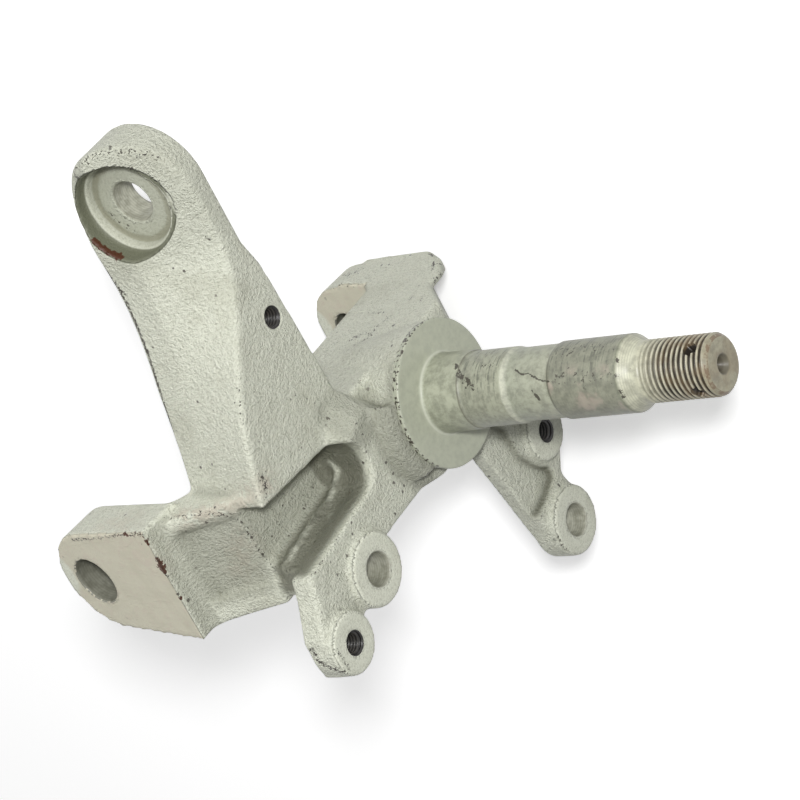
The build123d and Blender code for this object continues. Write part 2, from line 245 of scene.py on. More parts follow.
# %% Where a cutter has been
BOSS_R = {"caliper_bolt": 10.0 * MM, "guard_tap": 8.4 * MM}
PAD_ROOT_X = -42 * MM
COUNTERBORE_R = 12.9 * MM
COUNTERBORE_FLOORS = (4.3 * MM, 2.0 * MM)
COUNTERBORE_ROOM = 0.5 * MM
COUNTERBORE_FROM = 1.5 * MM
FLAT = 0.45 * MM


def machined_faces(co):
    """List of (points on the face, height above it, its normal) for each faced place."""
    faces = []
    for name in ("upper_ball_joint_hole", "lower_ball_joint_hole"):
        axis = place(name)[1]
        height, _ = about_axis(co, name)
        for side in (1, -1):
            level = height * side - length(name) / 2
            on = (np.abs(level) < FLAT) & (co[:, 0] < PAD_ROOT_X)
            faces.append((on, level, axis * side))
    for name in BOLTS + TAPS:
        axis = place(name)[1]
        height, away = about_axis(co, name)
        level = height - length(name) / 2
        on = (np.abs(level) < FLAT) & (away < BOSS_R[name.rsplit("_", 1)[0]])
        faces.append((on, level, axis))
    axis = place("tie_rod_hole")[1]
    height, away = about_axis(co, "tie_rod_hole")
    for floor in COUNTERBORE_FLOORS:
        level = height - floor
        on = (np.abs(level) < FLAT) & (away < COUNTERBORE_R)
        faces.append((on, level, axis))
    return faces


def machined_mask(co):
    """1 on faced places and in the arm's counterbore, 0 on the forged skin."""
    mask = np.zeros(len(co))
    for on, _, _ in machined_faces(co):
        mask[on] = 1
    height, away = about_axis(co, "tie_rod_hole")
    mask[(away < COUNTERBORE_R + COUNTERBORE_ROOM) & (height > COUNTERBORE_FROM)] = 1
    return mask


print("faced places", len(machined_faces(read_points(forging.data))))

# %% Where the pads are left bare
PAD_FACES = 4
PATCH_INBOARD = 15.2 * MM
PATCH_AHEAD = 1.5 * MM
PATCH_R = 7.6 * MM


def bare_mask(co):
    """1 on the pads' faces, which are left unpainted but for a round patch on the lower one."""
    bare = np.zeros(len(co))
    for on, _, _ in machined_faces(co)[:PAD_FACES]:
        bare[on] = 1
    centre, axis = place("lower_ball_joint_hole")
    inboard = np.cross(np.array([0, 1, 0]), axis)
    inboard *= -np.sign(inboard[0])
    spot = centre + PATCH_INBOARD * inboard + np.array([0, PATCH_AHEAD, 0])
    away = co - spot
    across = np.linalg.norm(away - (away @ axis)[:, None] * axis, axis=1)
    bare[across < PATCH_R] = 0
    return bare


print("bare points", int(bare_mask(read_points(forging.data)).sum()))

# %% [markdown]
# ## Softening
#
# Smoothing moves each point towards the mean of its neighbours. Every neighbour sum is
# one `bincount` over the list of edges, with no Python loop over points. A round that
# pulls in followed by one that pushes out, known as Taubin smoothing, clears the
# remesh's steps and keeps the size. A few plain rounds then round the forged edges.

# %% Smooth the forging
TAUBIN_ROUNDS = 14
PULL_IN = 0.5
PUSH_OUT = -0.52
PLAIN_ROUNDS = 5
FACED_HOLD = 0.5
HOLD_ROUNDS = 3
HOLD_GAIN = 1.5
LEVEL_REACH = 0.2 * MM


def read_edges(mesh):
    """The mesh's edges as an (n, 2) array of point numbers."""
    pairs = np.empty(len(mesh.edges) * 2, np.int32)
    mesh.edges.foreach_get("vertices", pairs)
    return pairs.reshape(-1, 2)


def smoothed(values, edges, weight, step, rounds=1):
    """values moved by step * weight towards the mean over the edges, rounds times."""
    n = len(values)
    a, b = edges.T
    count = np.maximum(np.bincount(a, minlength=n) + np.bincount(b, minlength=n), 1)
    flat = values.reshape(n, -1).copy()
    scale = (step * np.broadcast_to(weight, n))[:, None]
    for _ in range(rounds):
        total = np.stack(
            [
                np.bincount(a, flat[b, k], n) + np.bincount(b, flat[a, k], n)
                for k in range(flat.shape[1])
            ],
            1,
        )
        flat += scale * (total / count[:, None] - flat)
    return flat.reshape(values.shape)


def levelled(co):
    """Points on faced places moved onto their plane."""
    for on, level, normal in machined_faces(co):
        pull = on & (np.abs(level) < LEVEL_REACH)
        co[pull] -= level[pull, None] * normal
    return co


points = read_points(forging.data)
edges = read_edges(forging.data)
held = smoothed(machined_mask(points), edges, 1.0, PULL_IN, HOLD_ROUNDS)
held = np.clip(held * HOLD_GAIN, 0, 1)
for _ in range(TAUBIN_ROUNDS):
    points = smoothed(points, edges, 1.0, PULL_IN)
    points = smoothed(points, edges, 1.0, PUSH_OUT)
points = smoothed(points, edges, 1 - FACED_HOLD * held, PULL_IN, PLAIN_ROUNDS)
points = levelled(points)
print("smoothed", len(points), "points,", int((held > 0.5).sum()), "of them near a faced place")

# %% [markdown]
# ## Flash line
#
# The wall of the pocket keeps a low ridge with a shallow trough beside it, left by the
# die. It could be sculpted, but two bell curves across the wall give such a form in a
# few lines: one lifts the ridge and a wider one lowers the trough. A slow wave makes
# the line sway.

# %% Raise the flash line
POCKET_WALL_MM = ((-22.6, -9.5, 27), (-7.5, 1.0, 66))
FLASH_X_MM = -18.6
FLASH_WIDTH_MM = 1.0
FLASH_HEIGHT_MM = 0.95
TROUGH_X_MM = -14.6
TROUGH_WIDTH_MM = 2.4
TROUGH_DEPTH_MM = 0.7
FLASH_FADE_MM = 4
FLASH_PUSH = np.array([0, 1, 0.15])
FLASH_SWAY = ((0.35, 0.9, 0), (0.25, 2.3, 1))


def pocket_ridge(co):
    """Points of the pocket's wall pushed out along the flash line and in beyond it.

    Push = height * exp(-((x - line) / width)^2) - depth * exp(-((x - trough) / width)^2).
    The line sways with z, and both terms fade out at the top and bottom of the wall.
    """
    x, y, z = co.T / MM
    low, high = POCKET_WALL_MM
    wall = (x > low[0]) & (x < high[0]) & (y > low[1]) & (y < high[1]) & (z > low[2]) & (z < high[2])
    sway = sum(size * np.sin(z * rate + start) for size, rate, start in FLASH_SWAY)
    line = np.exp(-(((x - FLASH_X_MM + sway) / FLASH_WIDTH_MM) ** 2))
    dip = np.exp(-(((x - TROUGH_X_MM) / TROUGH_WIDTH_MM) ** 2))
    start = smoothstep(low[2], low[2] + FLASH_FADE_MM, z)
    stop = 1 - smoothstep(high[2] - FLASH_FADE_MM, high[2], z)
    push = wall * (FLASH_HEIGHT_MM * line - TROUGH_DEPTH_MM * dip) * start * stop
    return co + push[:, None] * FLASH_PUSH * MM


flat_wall = points
points = pocket_ridge(flat_wall)
print("flash line moved points by up to", round(np.abs(points - flat_wall).max() / MM, 2), "mm")

# %% [markdown]
# ## Bores
#
# A drilled or bored hole has a crisp mouth that half-millimetre squares can't hold.
# Each hole is therefore let out a little in the forging and lined with its own turned
# surface, whose lip stands a fiftieth of a millimetre above the face. The tapped holes
# get a true thread: the radius falls and rises with (x / pitch - turn), so the ridge
# climbs one pitch each turn.

# %% Let the holes out
LIP = 1.1 * MM
LET_OUT = 0.35 * MM
PROUD = 0.02 * MM
TAP_DEPTH = 0.55 * MM
MOUTH_REACH = 1 * MM
ALL_BORES = BOLTS + TAPS + ("arm_tap", "upper_ball_joint_hole", "lower_ball_joint_hole", "tie_rod_hole")


def inner_radius(name):
    """Radius of the hole's wall, at the bottom of the thread for a tapped hole."""
    return radius(name) + (TAP_DEPTH if "tap" in name else 0)


for name in ALL_BORES:
    centre, axis = place(name)
    height, away = about_axis(points, name)
    want = inner_radius(name) + LET_OUT
    beside = np.abs(height) < length(name) / 2 + MOUTH_REACH
    inside = beside & (away < want) & (away > 0.5 * radius(name))
    middle = centre + height[inside, None] * axis
    points[inside] = middle + (points[inside] - middle) * (want / away[inside])[:, None]
forging.data.vertices.foreach_set("co", points.astype(np.float32).ravel())
forging.data.update()
print("bores let out", len(ALL_BORES))

# %% [markdown]
# ## Wear
#
# Paint wears off at edges, and hollows are darkened with dirt and painted shade. A
# material could read Pointiness, but its strength depends on how dense the mesh is. Here
# the bend of the surface is measured along every edge, in 1/m, and kept on the points as
# attributes, so the limits are true curvatures: 500 is the bend of a ball of 2 mm radius.

# %% Worn edges and hollows as attributes
EDGE_BEND = (150, 520)
BROAD_HOLLOW = (25, 170)
FINE_HOLLOW = (140, 560)
BEND_ROUNDS = 2
BROAD_ROUNDS = 40
MASK_LIMITS = (0.3, 0.7)


def read_normals(mesh):
    """The mesh's point normals as an (n, 3) array."""
    no = np.empty(len(mesh.vertices) * 3, np.float32)
    mesh.vertex_normals.foreach_get("vector", no)
    return no.reshape(-1, 3).astype(float)


def curvature(mesh):
    """Mean bend at each point in 1/m, above 0 on a ridge and below 0 in a hollow.

    Along an edge it is the change of normal, times the edge's direction, over its length.
    """
    co, no, pairs = read_points(mesh), read_normals(mesh), read_edges(mesh)
    a, b = pairs.T
    run = co[b] - co[a]
    reach = np.maximum(np.linalg.norm(run, axis=1), 1e-7)
    bend = np.einsum("ij,ij->i", no[b] - no[a], run) / reach**2
    n = len(co)
    total = np.bincount(a, bend, n) + np.bincount(b, bend, n)
    return total / np.maximum(np.bincount(a, minlength=n) + np.bincount(b, minlength=n), 1)


def store(mesh, name, values):
    """Values written to the mesh as a point attribute that a material can read."""
    layer = mesh.attributes.new(name, "FLOAT", "POINT")
    layer.data.foreach_set("value", np.asarray(values, np.float32))


bend = smoothed(curvature(forging.data), edges, 1.0, PULL_IN, BEND_ROUNDS)
broad = smoothed(bend, edges, 1.0, PULL_IN, BROAD_ROUNDS)
machined = smoothed(machined_mask(points), edges, 1.0, PULL_IN)
unpainted = smoothed(bare_mask(points), edges, 1.0, PULL_IN)
hollow_share = smoothstep(*BROAD_HOLLOW, -broad) * 0.5 + smoothstep(*FINE_HOLLOW, -bend) * 0.5
store(forging.data, "edge", smoothstep(*EDGE_BEND, bend))
store(forging.data, "hollow", hollow_share)
store(forging.data, "machined", smoothstep(*MASK_LIMITS, machined))
store(forging.data, "bare", smoothstep(*MASK_LIMITS, unpainted))
print("bend in 1/m at 1, 50 and 99 %", np.round(np.percentile(bend, (1, 50, 99))))

# %% [markdown]
# ## Knocks, rust, stains, blushes and painted shade
#
# A part that has lain in a bin shows where it was knocked, where it rusted, and where
# dirt or thin paint changed its tone, and shade is painted into its pockets, its hollows
# and a few faces. Such marks could be painted into an image. A short path in millimetres
# needs none and stays sharp at any size. A mark's strength falls with the distance d from
# its path as exp(-(d / width)^2). The finish then breaks knocks and rust up into flakes
# with a noise, and only roughens stains, painted shade and blushes a little.

# %% Strength of a mark near its path


def near_path(co, path_mm, width_mm):
    """exp(-(d / width)^2), where d is each point's distance from a path of straight runs."""
    path = np.array(path_mm, float) * MM
    nearest = np.full(len(co), np.inf)
    for start, end in zip(path, path[1:]):
        run = end - start
        share = np.clip((co - start) @ run / (run @ run), 0, 1)
        nearest = np.minimum(nearest, np.linalg.norm(co - start - share[:, None] * run, axis=1))
    return np.exp(-((nearest / (width_mm * MM)) ** 2))


def marks(co, listed):
    """Strongest of the listed (path, width in mm, amount) marks at each point."""
    return np.max([amount * near_path(co, path, width) for path, width, amount in listed], axis=0)


def arc(centre, r, heights, first, last):
    """Points in mm on an arc about +Z, its height running through the heights given."""
    turn = np.radians(np.linspace(first, last, len(heights)))
    return [(centre[0] + r * math.cos(t), centre[1] + r * math.sin(t), z) for t, z in zip(turn, heights)]


one_width_off = near_path(np.array([[0, MM, 0]]), [(0, 0, 0), (1, 0, 0)], 1.0)
print("strength one width away from the path", one_width_off.round(2))

# %% Knocks
EYE_MM = tuple(place("tie_rod_hole")[0][:2] / MM)
HEAD_CENTRE_MM = (-28.5, 89.4)
PAD_EDGE_MM = [(-73, 13.6, 74.0), (-61.3, 15.0, 75.7), (-49.5, 16.6, 77.4), (-42.6, 17.0, 78.3)]
SADDLE_EDGE_MM = [
    (-40.5, 15.6, 70.4), (-34.1, 15.3, 68.9), (-29.8, 14.6, 67.5), (-24.5, 11.6, 65.6),
    (-23.2, 8.0, 63.9), (-23.1, 2.9, 63.4), (-23.0, -2.9, 63.1), (-21.5, -8.1, 63.6),
]
KNOCKS = [
    (arc(HEAD_CENTRE_MM, 15.9, (43.0, 42.6, 42.2, 41.4, 39.6, 37.6, 36.4), 138, 38), 1.7, 0.5),
    ([(-38.2, 100.4, 43), (-36.8, 100.9, 42)], 0.9, 1.0),
    ([(-44.0, 78, 43.6), (-42.4, 68, 44.3), (-42.2, 59, 45.2), (-42, 49, 47.3), (-42, 40, 50)], 0.8, 0.95),
    ([(-42, 40, 50), (-41.8, 24, 54.5), (-41, 9, 60.6)], 0.8, 0.95),
    ([(-41.8, 68.6, 44.4), (-40.8, 66.8, 44.5)], 0.5, 0.9),
    ([(-14.8, 75.2, 35.1), (-14.0, 73.8, 35.1)], 0.5, 0.95),
    ([(-14.4, 85.6, 34.9), (-14.2, 85.2, 34.9)], 0.5, 0.95),
    (arc(EYE_MM, 6.4, (36.2, 36.2, 36.2, 36.2), 185, 245), 0.7, 0.8),
    (arc(EYE_MM, 9.4, (36.2, 36.2, 36.2, 36.2), 190, 250), 0.5, 0.7),
    (PAD_EDGE_MM, 0.6, 0.85),
    (SADDLE_EDGE_MM, 1.0, 0.56),
    ([(-12.1, 19.4, 60.4), (-12.1, 16.6, 61.2), (-13.5, 15.4, 63.4)], 1.5, 0.72),
    ([(-26.0, 15.4, -47.4), (-24.6, 15.5, -46.4)], 0.8, 0.9),
    ([(-21.9, 15.6, -42.6), (-19.6, 15.6, -38.2)], 0.7, 0.8),
    ([(-14.9, 15.6, -23.8), (-14.4, 15.6, -22.4)], 0.7, 0.8),
    ([(-21.6, 15.6, -16.4), (-22.9, 15.6, -12.6), (-22.6, 15.9, -7), (-24.8, 15.8, -3)], 1.1, 0.62),
    ([(-11.2, -24.1, 75.6), (-10.1, -27.0, 76.2), (-7.6, -29.6, 76.2), (-4.6, -31.6, 75.4)], 1.0, 0.8),
    ([(-4.1, -25.4, 74.4), (-4.1, -32.3, 73.8)], 0.6, 0.7),
    ([(-55.8, 14.2, -45.1), (-50, 15.5, -43.1)], 2.4, 0.52),
    ([(-31.7, 15.5, -19.8), (-24.5, 15.5, -19.0)], 0.7, 0.66),
    ([(-28.5, 15.5, -6.6), (-26.2, 15.5, -9.0), (-22, 15.5, -7.4)], 0.8, 0.7),
    ([(-19.8, 15.5, -26), (-18.8, 15.5, -24)], 0.6, 0.8),
]
store(forging.data, "knocked", marks(points, KNOCKS))
print("knocks", len(KNOCKS))

# %% Rust
RUST = [
    (arc(EYE_MM, 13.1, (43.2, 43.0, 42.9, 42.8, 42.8), 206, 240), 1.0, 1.7),
    (PAD_EDGE_MM[2:] + [(-42.0, 13.5, 78.2)], 0.8, 0.9),
    ([(-42.2, 8.2, 78.1), (-42.0, 5.2, 78.1)], 1.2, 1.2),
    ([(-42.0, 0.6, 78), (-42.0, -0.8, 78)], 0.6, 0.8),
    ([(-42.0, -3.2, 78), (-42.0, -4.4, 78)], 0.6, 0.8),
    ([(-65.6, 4.0, -39.2), (-64.2, 2.4, -39.0)], 0.5, 0.8),
]
store(forging.data, "rusted", marks(points, RUST))
print("rust spots", len(RUST))

# %% Stains and painted shade
# Dirt and painted shade in the valley round the bracket panel's ridges.
PANEL_VALLEY_MM = [
    (-7.6, -16, -12.5), (-7.6, -20, -15.6), (-7.6, -27.5, -20.8), (-7.6, -36, -21.6),
    (-7.6, -42.6, -25.6), (-7.6, -46.8, -29.4), (-7.6, -49.6, -29.2), (-7.6, -52.2, -23), (-7.6, -53, -17),
]
EJECTOR_CENTRE_MM = (-23.2, 3.1, 55.9)
EJECTOR_R_MM = 3.3
EJECTOR_TURN = (0.6, 4.6)
EJECTOR_MM = [
    (
        EJECTOR_CENTRE_MM[0],
        EJECTOR_CENTRE_MM[1] - EJECTOR_R_MM * math.sin(turn),
        EJECTOR_CENTRE_MM[2] + EJECTOR_R_MM * math.cos(turn),
    )
    for turn in np.linspace(*EJECTOR_TURN, 12)
]
# Paths of dirt and painted shade along the panel's valley, and of the ejector's ring mark.
STAIN_AND_SHADE_PATHS = [(PANEL_VALLEY_MM, 1.3, 0.95), (EJECTOR_MM, 0.4, 0.8)]
RIDGE_MM = [
    (-19.2, 2, 30.8), (-17.5, -0.4, 31.3), (-19.1, -3.4, 33.6), (-18.1, -4.7, 38.3),
    (-19.8, -5.1, 44), (-18.6, -5.6, 49.7), (-18.5, -6.1, 55.3), (-17.7, -6.5, 61),
]
# Share of the stains and painted shade kept off the flash ridge.
RIDGE_SPARED = 0.85
RIDGE_WIDTH_MM = 0.75
# Boxes of painted shade and dirt: the pocket's wall, far end and floor, the saddle, a strip by the upper
# pad, the arm's head and the web beside the hub.
SHADE_AND_DIRT_BOXES = [
    ((-20.2, -13, 29), (-9.8, -3.2, 66), 3.4, 0.92),
    ((-22.5, -6, 26), (-10.0, 10, 33.4), 2.2, 0.97),
    ((-24, -3, 34), (-21.8, 10.5, 66), 1.6, 0.34),
    ((-40, -11, 60), (-24, 11.5, 71), 2.6, 0.46),
    ((-42.5, -17, 70), (-40.2, 16, 77), 0.8, 0.34),
    ((-46, 78, 30), (-11, 108, 48), 10.0, 0.17),
    ((-11, 7, 24), (-6, 18, 32), 5.0, 0.44),
]


def inside_box(co, low_mm, high_mm, soft_mm):
    """1 inside a box given in mm, falling to 0 over soft_mm around it."""
    low, high = np.array(low_mm) * MM, np.array(high_mm) * MM
    gap = np.linalg.norm(np.maximum(np.maximum(low - co, co - high), 0), axis=1)
    return 1 - smoothstep(0, soft_mm * MM, gap)


HUB_DARKENING_AMOUNT = 0.6
HUB_DARKENING_RING_MM = (19, 20, 24, 28)
HUB_DARKENING_ABOVE_MM = (6, 16)
HUB_DARKENING_BEHIND_MM = (-12, -6)


def hub_darkening(co):
    """Darkening in the hollow behind the flange, on the upper side of the hub."""
    away = np.linalg.norm(co[:, 1:], axis=1) / MM
    inner, full, thinning, outer = HUB_DARKENING_RING_MM
    ring = smoothstep(inner, full, away) * (1 - smoothstep(thinning, outer, away))
    above = smoothstep(*HUB_DARKENING_ABOVE_MM, co[:, 2] / MM)
    return HUB_DARKENING_AMOUNT * ring * above * smoothstep(*HUB_DARKENING_BEHIND_MM, co[:, 0] / MM)


def stains(co):
    """Strongest of the stain and shade paths, the boxes of painted shade and dirt and the hub's darkening
    at each point, less on the flash ridge.
    """
    found = [marks(co, STAIN_AND_SHADE_PATHS), hub_darkening(co)]
    found += [amount * inside_box(co, low, high, soft) for low, high, soft, amount in SHADE_AND_DIRT_BOXES]
    return np.max(found, axis=0) * (1 - RIDGE_SPARED * near_path(co, RIDGE_MM, RIDGE_WIDTH_MM))


# This attribute holds real stains and painted shade together.
store(forging.data, "stained", stains(points))
print("stained places", len(STAIN_AND_SHADE_PATHS) + len(SHADE_AND_DIRT_BOXES))

# %% Blushes
BLUSHES = [
    ([(-12.6, 17, 60.6), (-18, 15, 64.4), (-26, 14, 66.4), (-36, 14.6, 69)], 3.2, 0.75),
    ([(-50, 14, 77), (-46, 8, 78)], 5.0, 0.6),
    ([(-30, -3, 66), (-26, 3, 65)], 4.5, 0.55),
    ([(-60, 16, 72), (-52, 16.5, 72)], 4.0, 0.4),
]
store(forging.data, "blushed", marks(points, BLUSHES))
print("blushes", len(BLUSHES))

# %% [markdown]
# ## Thinning
#
# Flat places don't need a point every half millimetre. The mesh could be remeshed more
# coarsely, which would blunt the rounded edges too. Decimate collapses first the edges
# whose loss changes the surface least, so small forms keep their points, and the
# attributes go with them.

# %% Thin the mesh
FORGING_FACES = 192000


def thinned(obj, triangles):
    """The object's mesh, its least needed edges collapsed until about that many triangles stay."""
    obj.data.calc_loop_triangles()
    thin = obj.modifiers.new("thinned", "DECIMATE")
    thin.ratio = triangles / len(obj.data.loop_triangles)
    return evaluated(obj)


forging.data = thinned(forging, FORGING_FACES)
print("forging thinned to", len(forging.data.polygons), "faces")

# %% [markdown]
# ## Stub axle
#
# The axle is turned in one piece with the forging: a flange face, a collar, two ground
# seats for the wheel bearings with a relief between them, a cone and a fine thread for
# the axle nut. Its thread is cut into the surface itself, and two crossing holes take
# the split pin. The holes are cut with a Boolean, since they pass through the ridges.

# %% Profile of the axle
AXLE_END = cad_box[1][0]
PLAIN_STEP_MM = 0.7
TAIL_STEP_MM = 0.35
STEPS_A_PITCH = 15
THREAD_PITCH = 1.5 * MM
AXLE_PROFILE_MM = [
    (-2.6, 0), (-2.6, 19.6), (-0.35, 20.0), (-0.1, 19.9), (0, 19.65), (0, 11.5), (0.12, 11.0),
    (0.35, 10.72), (0.8, 10.6), (11.5, 10.35), (11.9, 10.2), (12.0, 10.02), (25.3, 10.0), (27.2, 9.5),
    (39.8, 9.5), (40.3, 9.75), (40.5, 10.0), (61.2, 10.0), (61.5, 9.9), (64.4, 8.1), (64.8, 8.0),
]
AXLE_END_MM = [(1.15, 8.0), (0.15, 7.0), (0, 6.8), (0, 2.75), (0.1, 2.6), (3.2, 0)]


def axle_profile():
    """(x, r) rows in metres, close together on the thread."""
    end = AXLE_END / MM
    before, after = AXLE_PROFILE_MM[-1], (end - AXLE_END_MM[0][0], AXLE_END_MM[0][1])
    body = sampled(AXLE_PROFILE_MM, PLAIN_STEP_MM)
    thread = sampled([before, after], THREAD_PITCH / MM / STEPS_A_PITCH)
    tail = sampled([(end - x, r) for x, r in AXLE_END_MM], TAIL_STEP_MM)
    return np.concatenate([body[:-1], thread[:-1], tail]) * MM


print("axle profile", len(axle_profile()), "rows up to x", round(AXLE_END / MM, 2), "mm")

# %% Turn the axle and cut its thread
THREAD_DEPTH = 0.78 * MM
THREAD_FROM = 65.2 * MM
THREAD_TO = AXLE_END - 1.6 * MM
THREAD_IN = 4 * MM
THREAD_OUT = 0.9 * MM
THREAD_FLANK = (0.12, 0.92)
CORE_R = 2 * MM


def thread_cut(x, turn):
    """Depth of the thread at x for a turn from 0 to 1.

    Wave = |2 * frac(x / pitch - turn) - 1|, flattened at its crest and root by a smoothstep.
    """
    wave = np.abs(2 * ((x / THREAD_PITCH - turn) % 1) - 1)
    cut = smoothstep(*THREAD_FLANK, wave)
    start = smoothstep(THREAD_FROM, THREAD_FROM + THREAD_IN, x)
    stop = 1 - smoothstep(THREAD_TO, THREAD_TO + THREAD_OUT, x)
    return THREAD_DEPTH * cut * (start * stop)


def closed_faces(rings, sides):
    """Quads of a turned surface with a fan of triangles at each end's pole."""
    last = rings * sides
    near = [(last, (j + 1) % sides, j) for j in range(sides)]
    base = (rings - 1) * sides
    far = [(last + 1, base + j, base + (j + 1) % sides) for j in range(sides)]
    return ring_faces(rings, sides) + near + far


def turned_axle(sides=176):
    """The axle's points and faces, closed at both ends on its own axis."""
    rows = axle_profile()
    x, r = rows[1:-1, 0], rows[1:-1, 1]
    turn = np.arange(sides) / sides
    cut = thread_cut(x[:, None], turn[None, :]) * (x > THREAD_FROM)[:, None]
    radii = np.maximum(r[:, None] - cut, np.minimum(r[:, None], CORE_R))
    body = turned(x, radii, sides)
    poles = np.array([[rows[0, 0], 0, 0], [rows[-1, 0], 0, 0]])
    return np.concatenate([body, poles]), closed_faces(len(x), sides)


stub_axle = piece("stub_axle", *turned_axle())
print("stub_axle", len(stub_axle.data.vertices), "points,", THREAD_DEPTH / MM, "mm deep thread")

# %% Drill the split pin's holes
CUTTER_REACH = 10 * MM


def rod(name, centre, axis, r, reach, sides=40):
    """Closed round bar along an axis through a centre, used as a cutter."""
    rows = np.array([[-reach, r], [reach, r]])
    body = turned(rows[:, 0], rows[:, 1], sides, centre, axis)
    poles = np.array([centre - reach * axis, centre + reach * axis])
    return piece(name, np.concatenate([body, poles]), closed_faces(2, sides))


def outward(obj):
    """Normals turned to point out of the closed mesh."""
    bm = bmesh.new()
    bm.from_mesh(obj.data)
    bmesh.ops.recalc_face_normals(bm, faces=bm.faces)
    bm.to_mesh(obj.data)
    bm.free()


outward(stub_axle)
for name in ("cotter_hole_a", "cotter_hole_b"):
    centre, axis = place(name)
    cutter = rod("cutter", centre, axis, radius(name), CUTTER_REACH)
    outward(cutter)
    drill = stub_axle.modifiers.new(name, "BOOLEAN")
    drill.operation = "DIFFERENCE"
    drill.solver = "EXACT"
    drill.object = cutter
    stub_axle.data = evaluated(stub_axle)
    bpy.data.objects.remove(cutter)
print("stub_axle", len(stub_axle.data.polygons), "faces with its two pin holes")

# %% [markdown]
# ## Bore liners
#
# A bored wall is smooth and a tapped one carries a thread. Both could be cut into the
# forging with a Boolean, which leaves ragged triangles on a dense mesh and no even
# rings for a thread to climb. Each hole gets its own closed sleeve instead. Its wall
# has the hole's true radius, which the ridge of a tapped one rises to, and its lips
# cover the gap to the let-out forging.

# %% Profile and thread of a sleeve
EASE = 0.3 * MM
LINER_STEP = 0.7 * MM
BACK_STEP = 2 * MM
LIP_STEP = 0.3 * MM
BACK_DROP = 0.1 * MM
STEPS_A_TAP = 12
TAP_PITCH = 1.0 * MM
TAP_RUN_OUT = 1.2 * MM
TAP_FLANK = (0.1, 0.9)
ON_WALL = 0.01 * MM
SLEEVE_BACK = (LIP * 0.8, LIP * 0.9)
LIP_WIDE = LIP * 0.75
BLIND_TAP = "arm_tap"


def liner_profile(name, thread_pitch):
    """(height, r) rows round the sleeve: its back, its upper lip, its wall, its lower lip."""
    half = length(name) / 2 + PROUD
    r_in = inner_radius(name)
    step = thread_pitch / STEPS_A_TAP if thread_pitch else LINER_STEP
    deep = -half + EASE if name == BLIND_TAP else -half
    back = [(deep, r_in + SLEEVE_BACK[0]), (half - BACK_DROP, r_in + SLEEVE_BACK[1])]
    upper_lip = [(half, r_in + LIP_WIDE), (half, r_in + EASE)]
    wall = [(half - EASE, r_in), (-half + EASE, r_in)]
    lower_lip = [(-half, r_in + EASE), (-half, r_in + LIP_WIDE)]
    runs = [(back, BACK_STEP), (upper_lip, LIP_STEP), (wall, step), (lower_lip, LIP_STEP)]
    return np.concatenate([sampled(run, gap) for run, gap in runs])


def tap_cut(x, r, name, sides):
    """How far the thread's ridge stands into the hole, for every ring and side.

    Wave = |2 * frac(height / pitch - turn) - 1|, faded out towards both mouths.
    """
    half = length(name) / 2 + PROUD
    turn = np.arange(sides) / sides
    wave = np.abs(2 * ((x[:, None] / TAP_PITCH - turn) % 1) - 1)
    ends = smoothstep(half, half - TAP_RUN_OUT, np.abs(x))
    on_wall = (r < inner_radius(name) + ON_WALL)[:, None]
    return TAP_DEPTH * smoothstep(*TAP_FLANK, wave) * ends[:, None] * on_wall


def loop_faces(rings, sides):
    """Quads of a ring-shaped sleeve: its last ring is joined to its first."""
    j = np.arange(sides)
    nxt = (j + 1) % sides
    last = (rings - 1) * sides
    return ring_faces(rings, sides) + np.stack([last + j, j, nxt, last + nxt], -1).tolist()


print("a plain sleeve has", len(liner_profile("tie_rod_hole", 0.0)), "rings")

# %% Line the bores
WALL_SLACK = 0.15 * MM
CREST_DEPTH = 0.3 * MM
# Share of painted shade on the walls of some bores, most in the ball joints' bores.
BORE_SHADE_SHARES = {"upper_ball_joint_hole": 0.62, "lower_ball_joint_hole": 0.7, "caliper_bolt_upper": 0.1}


def wall_faces(mesh, name, reach, limit):
    """Second material on the faces within reach of the middle and within limit of the axis."""
    middle = np.empty(len(mesh.polygons) * 3, np.float32)
    mesh.polygons.foreach_get("center", middle)
    height, away = about_axis(middle.reshape(-1, 3).astype(float), name)
    inside = (np.abs(height) < reach + WALL_SLACK) & (away < limit)
    mesh.polygons.foreach_set("material_index", inside.astype(np.int32))


def liner(name, thread_pitch=0.0, sides=72):
    """Closed sleeve in a hole, its wall plain or threaded, its lips just above the faces."""
    centre, axis = place(name)
    x, r = liner_profile(name, thread_pitch).T
    radii = np.repeat(r[:, None], sides, 1)
    if thread_pitch:
        radii = radii - tap_cut(x, r, name, sides)
    made = piece(name + "_wall", turned(x, radii, sides, centre, axis), loop_faces(len(x), sides))
    outward(made)
    r_in = inner_radius(name)
    height, away = about_axis(read_points(made.data), name)
    store(made.data, "depth", height)
    store(made.data, "crest", smoothstep(r_in - CREST_DEPTH, r_in - TAP_DEPTH, away))
    # Each sleeve stores its bore's share of painted shade.
    store(made.data, "bore_shade", np.full(len(away), BORE_SHADE_SHARES.get(name, 0.0)))
    store(made.data, "bare", np.full(len(away), 1.0 if "ball_joint" in name else 0.0))
    wall_faces(made.data, name, length(name) / 2 + PROUD - EASE, r_in + 0.5 * EASE)
    return made


liners = [liner(name, TAP_PITCH if "tap" in name else 0.0) for name in ALL_BORES]
print("bores lined", [o.name for o in liners])

# %% [markdown]
# ## Finishes
#
# The forging wears a thin grey-green paint that follows the rough skin. The pads' faces
# show a warmer bare steel, edges are chipped to dark scale, and hollows are darkened with
# dirt and painted shade. Colours are worked out by nodes from the place on the part and
# from the attributes stored above.
# Writing such nodes one by one is long, so small helpers make the common ones: sums,
# blends, ramps, noises and bands.

# %% Node helpers for numbers and colours


